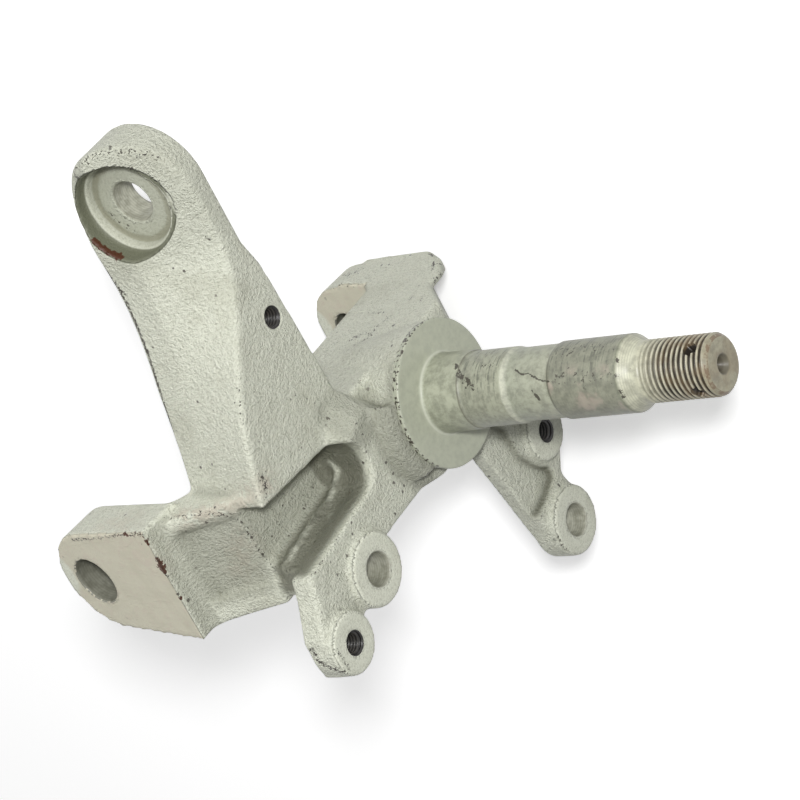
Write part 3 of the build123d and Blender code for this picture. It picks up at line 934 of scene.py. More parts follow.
def maths(tree, operation, a, b=0.5, c=0.5):
    """Output of a Math node on a, b and c."""
    made = tree.nodes.new("ShaderNodeMath")
    made.operation = operation
    for socket, value in zip(made.inputs, (a, b, c)):
        if isinstance(value, bpy.types.NodeSocket):
            tree.links.new(value, socket)
        else:
            socket.default_value = value
    return made.outputs[0]


def blend(tree, share, first, second, mode="MIX"):
    """Colour between first and second by share."""
    made = tree.nodes.new("ShaderNodeMix")
    made.data_type = "RGBA"
    made.blend_type = mode
    for socket, value in zip((made.inputs[0], made.inputs[6], made.inputs[7]), (share, first, second)):
        if isinstance(value, bpy.types.NodeSocket):
            tree.links.new(value, socket)
        else:
            socket.default_value = value
    return made.outputs[2]


def product(tree, first, *others):
    """Product of sockets and numbers, multiplied from left to right."""
    for other in others:
        first = maths(tree, "MULTIPLY", first, other)
    return first


def tinted(tree, colour, shade, *shares):
    """The colour moved towards a shade by the product of the shares."""
    return blend(tree, product(tree, *shares), colour, shade)


def ramp(tree, value, low, high):
    """0 to 1 as value goes from low to high."""
    made = tree.nodes.new("ShaderNodeMapRange")
    made.interpolation_type = "SMOOTHSTEP"
    made.inputs["From Min"].default_value = low
    made.inputs["From Max"].default_value = high
    tree.links.new(value, made.inputs["Value"])
    return made.outputs[0]


def band(tree, value, low, high, soft):
    """1 between low and high, falling to 0 over soft at both ends."""
    rise = ramp(tree, value, low - soft, low)
    fall = ramp(tree, value, high + soft, high)
    return maths(tree, "MULTIPLY", rise, fall)


print("helpers", [f.__name__ for f in (maths, blend, product, tinted, ramp, band)])

# %% Node helpers for places and textures


def here(tree):
    """Object coordinates."""
    return tree.nodes.new("ShaderNodeTexCoord").outputs["Object"]


def noise(tree, where, scale, detail=3.0, rough=0.5):
    """Value of a noise of that scale, in 1/m, at the place given."""
    made = tree.nodes.new("ShaderNodeTexNoise")
    tree.links.new(where, made.inputs["Vector"])
    made.inputs["Scale"].default_value = scale
    made.inputs["Detail"].default_value = detail
    made.inputs["Roughness"].default_value = rough
    return made.outputs[0]


def mask(tree, name):
    """Point attribute of that name."""
    made = tree.nodes.new("ShaderNodeAttribute")
    made.attribute_name = name
    return made.outputs["Fac"]


def vector(tree, operation, a, b=None):
    """Output of a Vector Math node: a number for a length or a dot product."""
    made = tree.nodes.new("ShaderNodeVectorMath")
    made.operation = operation
    tree.links.new(a, made.inputs[0])
    if b is not None:
        tree.links.new(b, made.inputs[1])
    return made.outputs["Value" if operation in ("LENGTH", "DOT_PRODUCT") else "Vector"]


def grey(tree, value):
    """Neutral colour of that value."""
    made = tree.nodes.new("ShaderNodeCombineColor")
    for socket in made.inputs:
        tree.links.new(value, socket)
    return made.outputs[0]


def bands(tree, value, stops_mm):
    """Colour that runs through (place in mm, colour) stops as value, in metres, grows."""
    low, high = stops_mm[0][0], stops_mm[-1][0]
    share = tree.nodes.new("ShaderNodeMapRange")
    share.inputs["From Min"].default_value = low * MM
    share.inputs["From Max"].default_value = high * MM
    tree.links.new(value, share.inputs["Value"])
    made = tree.nodes.new("ShaderNodeValToRGB")
    while len(made.color_ramp.elements) < len(stops_mm):
        made.color_ramp.elements.new(1.0)
    for element, (at, colour) in zip(made.color_ramp.elements, stops_mm):
        element.position = (at - low) / (high - low)
        element.color = (*colour, 1)
    tree.links.new(share.outputs[0], made.inputs[0])
    return made.outputs[0]


print("helpers", [f.__name__ for f in (here, noise, mask, vector, grey, bands)])

# %% [markdown]
# ## Shared effects
#
# The same blasted grain shows on the paint and on the bare steel, and knocks and rust
# break up in the same way. Each effect could be copied into every material. As a node
# group it is built once, and each material sets its own values on the group's inputs:
# `grain` gives height and tone, `flakes` breaks up a soft mask, `specks` scatters dots
# and `about` measures round an axis.

# %% Helpers for groups


def group(name, inputs, outputs, vectors=()):
    """Empty shader node group with its float and vector sockets, ready to be filled."""
    tree = bpy.data.node_groups.new(name, "ShaderNodeTree")
    for label in vectors:
        tree.interface.new_socket(label, in_out="INPUT", socket_type="NodeSocketVector")
    for label, default in inputs:
        socket = tree.interface.new_socket(label, in_out="INPUT", socket_type="NodeSocketFloat")
        socket.default_value = default
    for label in outputs:
        tree.interface.new_socket(label, in_out="OUTPUT", socket_type="NodeSocketFloat")
    return tree, tree.nodes.new("NodeGroupInput"), tree.nodes.new("NodeGroupOutput")


def use(tree, shared, **inputs):
    """A shared group placed in a material with its own values."""
    made = tree.nodes.new("ShaderNodeGroup")
    made.node_tree = shared
    for key, value in inputs.items():
        if isinstance(value, bpy.types.NodeSocket):
            tree.links.new(value, made.inputs[key])
        else:
            made.inputs[key].default_value = value
    return made


print("helpers", [f.__name__ for f in (group, use)])

# %% Shared groups


def grain_group():
    """Height and tone of a blasted skin: fine grit over broader lumps."""
    tree, source, sink = group("grain", [("Grit", 1.0), ("Lumps", 1.0)], ["Height", "Tone"])
    where = here(tree)
    fine = noise(tree, where, 2500, 2.0)
    middle = noise(tree, where, 1300, 3.0, 0.6)
    broad = noise(tree, where, 380, 2.0)
    grit = maths(tree, "MULTIPLY", fine, source.outputs["Grit"])
    lumps = maths(tree, "MULTIPLY", middle, source.outputs["Lumps"])
    height = maths(tree, "ADD", maths(tree, "MULTIPLY", grit, 0.5), lumps)
    height = maths(tree, "ADD", height, maths(tree, "MULTIPLY", broad, 0.6))
    tree.links.new(height, sink.inputs["Height"])
    half_fine = maths(tree, "MULTIPLY", fine, 0.5)
    tone = maths(tree, "ADD", half_fine, maths(tree, "MULTIPLY", middle, 0.5))
    tree.links.new(tone, sink.inputs["Tone"])
    return tree


def flakes_group():
    """A soft mask broken into flakes: they fill it where it is strong and thin out below."""
    tree, source, sink = group("flakes", [("Mask", 0.0), ("Scale", 1100.0)], ["Flakes"])
    made = tree.nodes.new("ShaderNodeTexNoise")
    tree.links.new(here(tree), made.inputs["Vector"])
    tree.links.new(source.outputs["Scale"], made.inputs["Scale"])
    made.inputs["Detail"].default_value = 4.0
    made.inputs["Roughness"].default_value = 0.6
    level = maths(tree, "ADD", made.outputs[0], maths(tree, "MULTIPLY", source.outputs["Mask"], 0.34))
    tree.links.new(ramp(tree, level, 0.72, 0.77), sink.inputs["Flakes"])
    return tree


def specks_group():
    """Small dark dots of uneven size, one at most in each cell of a random mosaic."""
    tree, source, sink = group("specks", [("Scale", 300.0), ("Size", 0.12)], ["Specks"])
    cells = tree.nodes.new("ShaderNodeTexVoronoi")
    tree.links.new(here(tree), cells.inputs["Vector"])
    tree.links.new(source.outputs["Scale"], cells.inputs["Scale"])
    split = tree.nodes.new("ShaderNodeSeparateColor")
    tree.links.new(cells.outputs["Color"], split.inputs[0])
    chosen = maths(tree, "MULTIPLY", ramp(tree, split.outputs[0], 0.45, 1.0), source.outputs["Size"])
    uneven = noise(tree, here(tree), 1900, 2.0)
    inside = maths(tree, "SUBTRACT", chosen, cells.outputs["Distance"])
    inside = maths(tree, "SUBTRACT", inside, maths(tree, "MULTIPLY_ADD", uneven, 0.3, -0.15))
    tree.links.new(ramp(tree, inside, 0.0, 0.03), sink.inputs["Specks"])
    return tree


def about_group():
    """Height along an axis and distance from it; Centre and Axis are vectors."""
    tree, source, sink = group("about", [], ["Height", "Away"], vectors=["Centre", "Axis"])
    away = vector(tree, "SUBTRACT", here(tree), source.outputs["Centre"])
    height = vector(tree, "DOT_PRODUCT", away, source.outputs["Axis"])
    along = tree.nodes.new("ShaderNodeVectorMath")
    along.operation = "SCALE"
    tree.links.new(source.outputs["Axis"], along.inputs[0])
    tree.links.new(height, along.inputs["Scale"])
    square = vector(tree, "SUBTRACT", away, along.outputs[0])
    tree.links.new(height, sink.inputs["Height"])
    tree.links.new(vector(tree, "LENGTH", square), sink.inputs["Away"])
    return tree


grain = grain_group()
flakes = flakes_group()
specks = specks_group()
about = about_group()
print("shared groups", grain.name, flakes.name, specks.name, about.name)

# %% [markdown]
# ## Paint on the forging
#
# The forging wears one thin coat of pale grey-green over a blasted skin, so the skin's
# grit shows through. An even colour with a bump would look like plastic. The colour
# follows the grain's tone, and each flaw is laid over it in turn: bare pads, blushes,
# dirt and painted shade in the hollows, painted shade in the counterbore, stains and
# painted shade, specks, chips and rust.

# %% Palette and surface helpers
PAINT = (0.705, 0.72, 0.605, 1)
PAINT_DEEP = (0.55, 0.56, 0.455, 1)
BARE = (0.605, 0.58, 0.455, 1)
BARE_DEEP = (0.555, 0.53, 0.41, 1)
SCALE_DARK = (0.05, 0.042, 0.03, 1)
# Dirt and painted shade, for the hollows and the stained places.
DIRT_AND_SHADE = (0.152, 0.153, 0.112, 1)
# Painted shade on the counterbore's wall.
COUNTERBORE_WALL_SHADE = (0.125, 0.132, 0.085, 1)
BROWN = (0.25, 0.24, 0.155, 1)
RUST_RED = (0.06, 0.015, 0.002, 1)
BLUSH = (0.58, 0.52, 0.42, 1)
COUNTERBORE_SHADE = (0.24, 0.255, 0.18, 1)
# Brown painted shade at the foot of the counterbore's wall.
SEAT_EDGE_SHADE = (0.20, 0.19, 0.12, 1)


def surface(name):
    """New material with its tree and its shader."""
    made = bpy.data.materials.new(name)
    made.use_nodes = True
    tree = made.node_tree
    return made, tree, tree.nodes["Principled BSDF"]


def bumped(tree, shader, height, strength, distance):
    """The shader's normal from a height."""
    made = tree.nodes.new("ShaderNodeBump")
    made.inputs["Strength"].default_value = strength
    made.inputs["Distance"].default_value = distance
    tree.links.new(height, made.inputs["Height"])
    tree.links.new(made.outputs[0], shader.inputs["Normal"])


def around(tree, name):
    """Height and distance sockets about a mount's axis."""
    centre, axis = place(name)
    made = use(tree, about, Centre=tuple(centre), Axis=tuple(axis))
    return made.outputs["Height"], made.outputs["Away"]


print("palette", PAINT[:3], BARE[:3])

# %% Counterbore of the arm


def counterbore_tint(tree, colour, ragged):
    """Colour with painted shade in the arm's counterbore: on wall and floor, a brown band at the wall's
    foot, and a light step.
    """
    height, away = around(tree, "tie_rod_hole")
    near = band(tree, away, 0.0, 13.35 * MM, 0.2 * MM)
    high = ramp(tree, height, 4.6 * MM, 5.2 * MM)
    outer = ramp(tree, away, 12.3 * MM, 12.6 * MM)
    # Painted shade on the wall above the floors.
    colour = tinted(tree, colour, COUNTERBORE_WALL_SHADE, near, high, outer, 0.97)
    inner = ramp(tree, away, 12.9 * MM, 12.3 * MM)
    floor = band(tree, height, 1.4 * MM, 4.6 * MM, 0.4 * MM)
    colour = tinted(tree, colour, COUNTERBORE_SHADE, inner, floor, 0.42)
    wide = maths(tree, "MULTIPLY_ADD", ragged, 1.6 * MM, away)
    seat = band(tree, wide, 11.2 * MM, 13 * MM, 0.9 * MM)
    low = band(tree, height, 1.4 * MM, 4.5 * MM, 0.3 * MM)
    # Brown painted shade in a ragged band at the foot of the wall.
    colour = tinted(tree, colour, SEAT_EDGE_SHADE, seat, low, 0.5)
    rim = band(tree, away, 12.1 * MM, 12.6 * MM, 0.25 * MM)
    level = band(tree, height, 4.1 * MM, 4.7 * MM, 0.2 * MM)
    # The step goes back towards the plain paint colour, lighter than the painted shade round it.
    return tinted(tree, colour, PAINT, rim, level, 0.8)


print("counterbore's axis passes, in mm,", np.round(place("tie_rod_hole")[0] / MM, 2))

# %% Paint with its flaws


def clean_paint(tree, skin, ragged):
    """Paint whose tone follows the skin, clouded with brown, and warmer bare steel on the pads."""
    where = here(tree)
    tone = ramp(tree, skin.outputs["Tone"], 0.36, 0.56)
    colour = blend(tree, tone, PAINT_DEEP, PAINT)
    cloud = noise(tree, where, 55, 3.0, 0.6)
    colour = tinted(tree, colour, BROWN, ramp(tree, cloud, 0.5, 0.72), 0.22)
    bare_tone = ramp(tree, noise(tree, where, 160, 4.0, 0.6), 0.3, 0.62)
    bare = blend(tree, bare_tone, BARE_DEEP, BARE)
    bare = tinted(tree, bare, BLUSH, ramp(tree, ragged, 0.5, 0.62), 0.5)
    return blend(tree, mask(tree, "bare"), colour, bare)


def dirtied_and_shaded(tree, colour, hollow, ragged):
    """The colour with blushes, dirt and painted shade in the hollows, the counterbore's painted shade,
    stains and painted shade, and dark specks.
    """
    where = here(tree)
    colour = tinted(tree, colour, BLUSH, mask(tree, "blushed"), ramp(tree, ragged, 0.36, 0.56))
    # Dirt and painted shade in the hollows.
    colour = tinted(tree, colour, DIRT_AND_SHADE, hollow, 0.62)
    colour = counterbore_tint(tree, colour, ragged)
    # Stains and painted shade from the stained attribute.
    colour = tinted(tree, colour, DIRT_AND_SHADE, mask(tree, "stained"), ramp(tree, ragged, -0.3, 0.5))
    dots = use(tree, specks, Scale=360.0, Size=0.19).outputs[0]
    crowded = ramp(tree, noise(tree, where, 75, 2.0), 0.40, 0.56)
    return tinted(tree, colour, SCALE_DARK, dots, crowded, 0.85)


def chip_mask(tree):
    """1 where the paint is chipped off worn edges and knocks."""
    broken = ramp(tree, noise(tree, here(tree), 90, 2.0), 0.42, 0.66)
    edge = product(tree, mask(tree, "edge"), broken, 0.62)
    worn = maths(tree, "MAXIMUM", edge, mask(tree, "knocked"))
    return use(tree, flakes, Mask=worn, Scale=1700.0).outputs[0]


def forged_paint_and_shade():
    """Paint over a blasted forging, with bare pads, knocks, rust, specks, dirt and painted shade."""
    made, tree, shader = surface("forged_paint_and_shade")
    skin = use(tree, grain, Grit=1.0, Lumps=1.0)
    ragged = noise(tree, here(tree), 380, 4.0, 0.65)
    hollow = mask(tree, "hollow")
    chips = chip_mask(tree)
    rust = use(tree, flakes, Mask=mask(tree, "rusted"), Scale=700.0).outputs[0]
    colour = dirtied_and_shaded(tree, clean_paint(tree, skin, ragged), hollow, ragged)
    colour = blend(tree, chips, colour, SCALE_DARK)
    colour = blend(tree, rust, colour, RUST_RED)
    tree.links.new(colour, shader.inputs["Base Color"])
    shader.inputs["Metallic"].default_value = 0.0
    tree.links.new(maths(tree, "MULTIPLY_ADD", hollow, 0.25, 0.46), shader.inputs["Roughness"])
    rough = maths(tree, "MULTIPLY_ADD", mask(tree, "machined"), -0.72, 1.0)
    height = maths(tree, "MULTIPLY", skin.outputs["Height"], rough)
    height = maths(tree, "MULTIPLY_ADD", chips, -0.3, height)
    bumped(tree, shader, height, 1.0, 0.8 * MM)
    return made


paint = forged_paint_and_shade()
print("forged_paint_and_shade", len(paint.node_tree.nodes), "nodes")

# %% [markdown]
# ## Turned steel of the axle
#
# Each step of the axle has its own tone: the outer seat is the darkest, the corners
# between steps are darker, a pale band of painted highlight lies on the chamfer after the
# inner seat, the cone is pale and the thread has gone brown. One material per step would
# show hard seams. A colour ramp along X holds all steps in one material, and the later
# marks are laid over it by place along the axis and distance from it.

# %% Bands and knocks of the axle
# The pale band from 25.4 to 26.4 mm is a painted highlight on the chamfer after the inner seat.
AXLE_BANDS_MM = [
    (-3.0, (0.45, 0.47, 0.37)), (0.35, (0.45, 0.47, 0.37)), (0.6, (0.38, 0.395, 0.305)),
    (1.2, (0.34, 0.355, 0.27)), (11.2, (0.36, 0.375, 0.285)), (11.6, (0.14, 0.14, 0.10)),
    (12.1, (0.29, 0.30, 0.23)), (25.0, (0.32, 0.33, 0.25)), (25.4, (0.48, 0.49, 0.39)),
    (26.4, (0.44, 0.45, 0.36)), (27.2, (0.31, 0.325, 0.25)), (39.8, (0.34, 0.35, 0.27)),
    (40.2, (0.10, 0.10, 0.07)), (40.7, (0.22, 0.225, 0.17)), (60.9, (0.24, 0.245, 0.185)),
    (61.4, (0.15, 0.16, 0.11)), (61.8, (0.47, 0.47, 0.365)), (64.6, (0.49, 0.49, 0.38)),
    (66.5, (0.46, 0.455, 0.345)), (71.0, (0.46, 0.44, 0.335)), (84.5, (0.42, 0.39, 0.29)),
    (85.9, (0.335, 0.315, 0.225)),
]
AXLE_KNOCKS = [
    ([(10.4, 9.9, 3.2), (12.0, 8.7, 5.2), (14.0, 7.6, 6.5), (16.8, 6.2, 7.9)], 1.3, 0.85),
    ([(29.8, 7.9, 5.2), (32.5, 7.0, 6.4), (34, 7.3, 6.2), (37.6, 5.8, 7.6), (41.4, 5.3, 8.5)], 0.42, 1.0),
    ([(34.6, 4.1, 8.6), (36.6, 0.9, 9.5)], 0.4, 1.0),
    ([(43, 9.9, 1.2), (60, 9.7, 2.0)], 2.4, 0.5),
    ([(44, 6.2, 7.8), (60, 5.4, 8.4)], 3.0, 0.46),
    ([(61.6, 8.9, 4.0), (61.9, 7.6, 6.0)], 0.7, 0.9),
    ([(61.6, -1.5, 9.6), (61.9, 1.5, 9.6)], 0.6, 0.7),
    ([(19, 9.4, 3.4), (23, 9.2, 3.8)], 0.9, 0.6),
]
print("axle bands", len(AXLE_BANDS_MM), "and knocks", len(AXLE_KNOCKS))

# %% Ground seats, cone and thread
SEAT_STREAK = (0.08, 0.085, 0.065, 1)
SEAT_PINK = (0.45, 0.37, 0.31, 1)
CONE_GROOVE = (0.30, 0.30, 0.22, 1)
GROOVE_PITCH = 0.55 * MM
THREAD_ROOT_DARK = (0.018, 0.013, 0.007, 1)
THREAD_BROWN = (0.20, 0.14, 0.075, 1)


def axle_ground(tree, x, mottle, off_face):
    """Banded colour along the axle, mottled less on the flange face than beyond it."""
    shift = maths(tree, "SUBTRACT", noise(tree, here(tree), 320, 3.0), 0.5)
    colour = bands(tree, maths(tree, "MULTIPLY_ADD", shift, 0.5 * MM, x), AXLE_BANDS_MM)
    tone = maths(tree, "MULTIPLY_ADD", ramp(tree, mottle, 0.3, 0.66), 0.5, 0.72)
    strength = maths(tree, "MULTIPLY_ADD", off_face, 0.6, 0.3)
    return blend(tree, strength, colour, grey(tree, tone), "MULTIPLY")


def seat_marks(tree, colour, place_xyz, rings, patches):
    """Dark streaks round both seats, most on the forward side, and a pink stain on top."""
    x, y, z = place_xyz
    inner_seat = band(tree, x, 13 * MM, 25 * MM, 0.4 * MM)
    outer_seat = band(tree, x, 41 * MM, 61 * MM, 0.4 * MM)
    seats = maths(tree, "ADD", inner_seat, outer_seat)
    gaps = ramp(tree, noise(tree, here(tree), 800, 3.0), 0.42, 0.58)
    broken = maths(tree, "MULTIPLY_ADD", gaps, 0.75, 0.15)
    forward = maths(tree, "MULTIPLY_ADD", ramp(tree, y, 2.0 * MM, 9.0 * MM), 0.55, 0.25)
    streaks = ramp(tree, rings, 0.50, 0.62)
    colour = tinted(tree, colour, SEAT_STREAK, streaks, seats, broken, forward)
    stained = ramp(tree, patches, 0.5, 0.64)
    outer_part = band(tree, x, 41 * MM, 60 * MM, 1 * MM)
    return tinted(tree, colour, SEAT_PINK, stained, outer_part, ramp(tree, z, 5.0 * MM, 9.0 * MM), 0.55)


def thread_marks(tree, colour, x, away, patches):
    """Tool grooves on the cone, roots along the thread darker towards its end, and brown stains at its
    end.

    A groove follows sin(2 pi x / pitch).
    """
    grooves = maths(tree, "SINE", maths(tree, "MULTIPLY", x, 2 * math.pi / GROOVE_PITCH))
    cone = band(tree, x, 61.9 * MM, 64.6 * MM, 0.2 * MM)
    colour = tinted(tree, colour, CONE_GROOVE, ramp(tree, grooves, 0.2, 1.0), cone, 0.45)
    thread = band(tree, x, 65.6 * MM, 85.6 * MM, 0.4 * MM)
    root = ramp(tree, away, 7.95 * MM, 7.55 * MM)
    root_darkening = maths(tree, "MULTIPLY_ADD", ramp(tree, x, 67 * MM, 74 * MM), 0.62, 0.36)
    colour = tinted(tree, colour, THREAD_ROOT_DARK, root, thread, root_darkening)
    last_turns = band(tree, x, 74 * MM, 86 * MM, 3 * MM)
    return tinted(tree, colour, THREAD_BROWN, last_turns, ramp(tree, patches, 0.42, 0.62), 0.5)


print("cone grooves every", GROOVE_PITCH / MM, "mm")

# %% End face and flange face
END_RUST = (0.13, 0.075, 0.04, 1)
# Painted shade in the end's centre hole and in the pin holes.
CENTRE_HOLE_SHADE = (0.07, 0.065, 0.045, 1)
PIN_HOLE_SHADE = (0.03, 0.025, 0.02, 1)
# Painted highlight on the fillet at the collar's root.
ROOT_HIGHLIGHT = (0.68, 0.69, 0.60, 1)


def end_marks(tree, colour, x, away, mottle):
    """Rust round the end face's rim, and painted shade in the centre hole and on the walls of the pin
    holes.
    """
    end = ramp(tree, x, 85.75 * MM, 86.1 * MM)
    rim = band(tree, away, 6.85 * MM, 7.5 * MM, 0.15 * MM)
    colour = tinted(tree, colour, END_RUST, end, rim, ramp(tree, mottle, 0.44, 0.54), 0.75)
    # Painted shade in the centre hole.
    near_end = ramp(tree, x, 82 * MM, 83 * MM)
    colour = tinted(tree, colour, CENTRE_HOLE_SHADE, near_end, ramp(tree, away, 3.0 * MM, 2.4 * MM), 0.8)
    # Painted shade on the walls of the pin holes.
    pins = band(tree, x, 79.2 * MM, 84.0 * MM, 0.1 * MM)
    return tinted(tree, colour, PIN_HOLE_SHADE, pins, ramp(tree, away, 7.0 * MM, 6.6 * MM))


def flange_marks(tree, colour, place_xyz, away, off_face):
    """Dark dashes along the flange's rim, on its upper forward side, and a painted highlight ring at its
    root.
    """
    _, y, z = place_xyz
    face = maths(tree, "SUBTRACT", 1.0, off_face)
    rim = band(tree, away, 19.75 * MM, 20.0 * MM, 0.06 * MM)
    dashes = ramp(tree, noise(tree, here(tree), 1100, 3.0), 0.52, 0.57)
    upper_forward = ramp(tree, maths(tree, "ADD", y, z), -2 * MM, 6 * MM)
    colour = tinted(tree, colour, SCALE_DARK, face, rim, dashes, upper_forward)
    # Painted highlight ring on the fillet at the collar's root.
    root_highlight = band(tree, away, 10.9 * MM, 11.2 * MM, 0.2 * MM)
    return tinted(tree, colour, ROOT_HIGHLIGHT, face, root_highlight, 0.25)


print("end face at x", round(AXLE_END / MM, 2), "mm")

# %% Turned steel
AXLE_KNOCK_DARK = (0.06, 0.055, 0.04, 1)
RING_STRETCH = (1.0, 0.05, 0.05)


def turned_steel_and_painted_light():
    """Turned and ground steel in bands along the axle, with rings, stains, a brown thread, painted
    highlights on a chamfer and the flange's root, and painted shade in the end's holes.
    """
    made, tree, shader = surface("turned_steel_and_painted_light")
    where = here(tree)
    _, away = around(tree, "axle_thread")
    split = tree.nodes.new("ShaderNodeSeparateXYZ")
    tree.links.new(where, split.inputs[0])
    place_xyz = [split.outputs[axis] for axis in "XYZ"]
    x = place_xyz[0]
    stretch = tree.nodes.new("ShaderNodeMapping")
    stretch.inputs["Scale"].default_value = RING_STRETCH
    tree.links.new(where, stretch.inputs["Vector"])
    rings = noise(tree, stretch.outputs[0], 1700, 3.0, 0.6)
    mottle = noise(tree, where, 420, 4.0, 0.65)
    patches = noise(tree, where, 130, 3.0, 0.6)
    off_face = ramp(tree, x, 0.2 * MM, 0.8 * MM)
    colour = axle_ground(tree, x, mottle, off_face)
    colour = seat_marks(tree, colour, place_xyz, rings, patches)
    colour = thread_marks(tree, colour, x, away, patches)
    colour = end_marks(tree, colour, x, away, mottle)
    colour = flange_marks(tree, colour, place_xyz, away, off_face)
    knocks = use(tree, flakes, Mask=mask(tree, "knocked"), Scale=900.0).outputs[0]
    colour = blend(tree, knocks, colour, AXLE_KNOCK_DARK)
    tree.links.new(colour, shader.inputs["Base Color"])
    shader.inputs["Metallic"].default_value = 0.0
    tree.links.new(maths(tree, "MULTIPLY_ADD", mottle, 0.3, 0.27), shader.inputs["Roughness"])
    grit = use(tree, grain, Grit=1.0, Lumps=0.6).outputs["Height"]
    fine = maths(tree, "MULTIPLY", grit, 0.5)
    height = maths(tree, "ADD", maths(tree, "MULTIPLY", rings, 0.8), fine)
    bumped(tree, shader, height, 0.6, 0.08 * MM)
    return made


store(stub_axle.data, "knocked", marks(read_points(stub_axle.data), AXLE_KNOCKS))
steel = turned_steel_and_painted_light()
print("turned_steel_and_painted_light", len(steel.node_tree.nodes), "nodes")

# %% [markdown]
# ## Walls of the bores
#
# A bored wall shows fine rings from the boring tool and is darkened with painted shade,
# more in some bores than in others. A tapped wall is painted near black as shade, with its
# crests a little lighter as a painted highlight. Both are too small to be modelled any
# further, so the sleeves carry their height along the axis, their crests and their share
# of painted shade as attributes, and the finishes read them.

# %% Walls of the bores
BORE_DEEP = (0.30, 0.30, 0.235, 1)
BORE_PALE = (0.47, 0.47, 0.385, 1)
BORE_RING = (0.16, 0.16, 0.12, 1)
# Colour of the painted shade in the bores.
BORE_SHADE_COLOUR = (0.06, 0.06, 0.045, 1)
RING_PITCH = 0.8 * MM
# Painted shade in the tapped holes, with a lighter painted highlight on the crests.
TAP_ROOT_SHADE = (0.007, 0.006, 0.005, 1)
TAP_CREST_HIGHLIGHT = (0.05, 0.045, 0.035, 1)


def bored_steel_and_shade():
    """Wall of a plain bore: pale steel with the boring tool's rings, darkened with painted shade, more in
    some bores than in others.

    A ring follows sin(2 pi depth / pitch).
    """
    made, tree, shader = surface("bored_steel_and_shade")
    where = here(tree)
    mottle = noise(tree, where, 500, 4.0, 0.65)
    colour = blend(tree, ramp(tree, mottle, 0.35, 0.65), BORE_DEEP, BORE_PALE)
    turns = maths(tree, "MULTIPLY", mask(tree, "depth"), 2 * math.pi / RING_PITCH)
    rings = maths(tree, "SINE", turns)
    colour = tinted(tree, colour, BORE_RING, ramp(tree, rings, 0.0, 1.0), 0.3)
    # Painted shade on the wall, by the bore's stored share.
    colour = blend(tree, mask(tree, "bore_shade"), colour, BORE_SHADE_COLOUR)
    tree.links.new(colour, shader.inputs["Base Color"])
    shader.inputs["Metallic"].default_value = 0.0
    shader.inputs["Roughness"].default_value = 0.38
    bumped(tree, shader, mottle, 0.4, 0.08 * MM)
    return made


def tapped_hole_shade():
    """Wall of a tapped hole: painted shade, near black in the roots and a little lighter on the crests as
    a painted highlight.
    """
    made, tree, shader = surface("tapped_hole_shade")
    mottle = noise(tree, here(tree), 600, 3.0)
    crest = maths(tree, "MULTIPLY", mask(tree, "crest"), ramp(tree, mottle, 0.3, 0.55))
    # Painted shade, lighter on the crests as a painted highlight.
    colour = blend(tree, crest, TAP_ROOT_SHADE, TAP_CREST_HIGHLIGHT)
    tree.links.new(colour, shader.inputs["Base Color"])
    shader.inputs["Metallic"].default_value = 0.0
    shader.inputs["Roughness"].default_value = 0.35
    return made


bore_finish_and_shade = bored_steel_and_shade()
tap_shade_and_highlight = tapped_hole_shade()
forging.data.materials.clear()
forging.data.materials.append(paint)
stub_axle.data.materials.clear()
stub_axle.data.materials.append(steel)
for sleeve in liners:
    sleeve.data.materials.append(paint)
    sleeve.data.materials.append(tap_shade_and_highlight if "tap" in sleeve.name else bore_finish_and_shade)
print("materials", [m.name for m in bpy.data.materials])

# %% [markdown]
# ## Put it together
#
# Every piece rides on the part's one body. The forging, the axle and the liners
# together stand for the CAD node, which then isn't shown.

# %% Ride and replace
for part in [forging, stub_axle, *liners]:
    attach(part, "root")
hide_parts("steering_knuckle")
forging.data.shade_smooth()

# %% [markdown]
# ## Camera
#
# A small part is shown best from some way off with a long lens, which keeps its
# parallel faces nearly parallel. The camera looks down from outboard and ahead, turned
# so that the upper pad lies at the bottom left and the axle points to the right.

# %% Camera
CAMERA_PLACE = (0.49178, 0.32860, 0.51834)
CAMERA_TURN_DEG = (-42.151, 28.707, -29.094)
LENS = 135.0
camera = bpy.data.objects.new("camera", bpy.data.cameras.new("camera"))
camera.data.lens = LENS
camera.data.sensor_width = 36.0
camera.data.clip_start = 0.01
camera.location = CAMERA_PLACE
camera.rotation_euler = [math.radians(a) for a in CAMERA_TURN_DEG]
bpy.context.scene.collection.objects.link(camera)
bpy.context.scene.camera = camera
print("camera at", CAMERA_PLACE)

# %% [markdown]
# ## Studio
#
# A product shot wants shape in the part and nothing behind it. One big lamp would leave
# the forging flat. Here a small lamp from outboard and ahead draws the forms, a large
# one from ahead and an even sky soften its shadows, and the floor shows white but for
# the part's shadow. Bounced light sees a darker floor than the camera does, so the
# part's underside stays dark, and far from the part the floor glows pure white.

# %% Lamps
PART_MIDDLE = np.array([0.0, 0.01, 0.012])


def lamp(name, towards, distance, size, watts):
    """Square soft lamp in a direction from the part, aimed at it."""
    away = np.array(towards, float) / np.linalg.norm(towards)
    made = bpy.data.objects.new(name, bpy.data.lights.new(name, "AREA"))
    made.data.size = size
    made.data.energy = watts
    made.location = PART_MIDDLE + distance * away
    bpy.context.view_layer.update()
    made.rotation_euler = Vector(away).to_track_quat("Z", "Y").to_euler()
    bpy.context.scene.collection.objects.link(made)
    return made


front_lamp = lamp("front", towards=(0.627, 0.49, 0.606), distance=1.0, size=0.1, watts=8.4)
side_lamp = lamp("side", towards=(-0.2, 0.72, 0.55), distance=1.0, size=1.3, watts=5.0)
print("lamps", front_lamp.data.energy, "W and", side_lamp.data.energy, "W")

# %% Sky
SKY_STRENGTH = 0.2


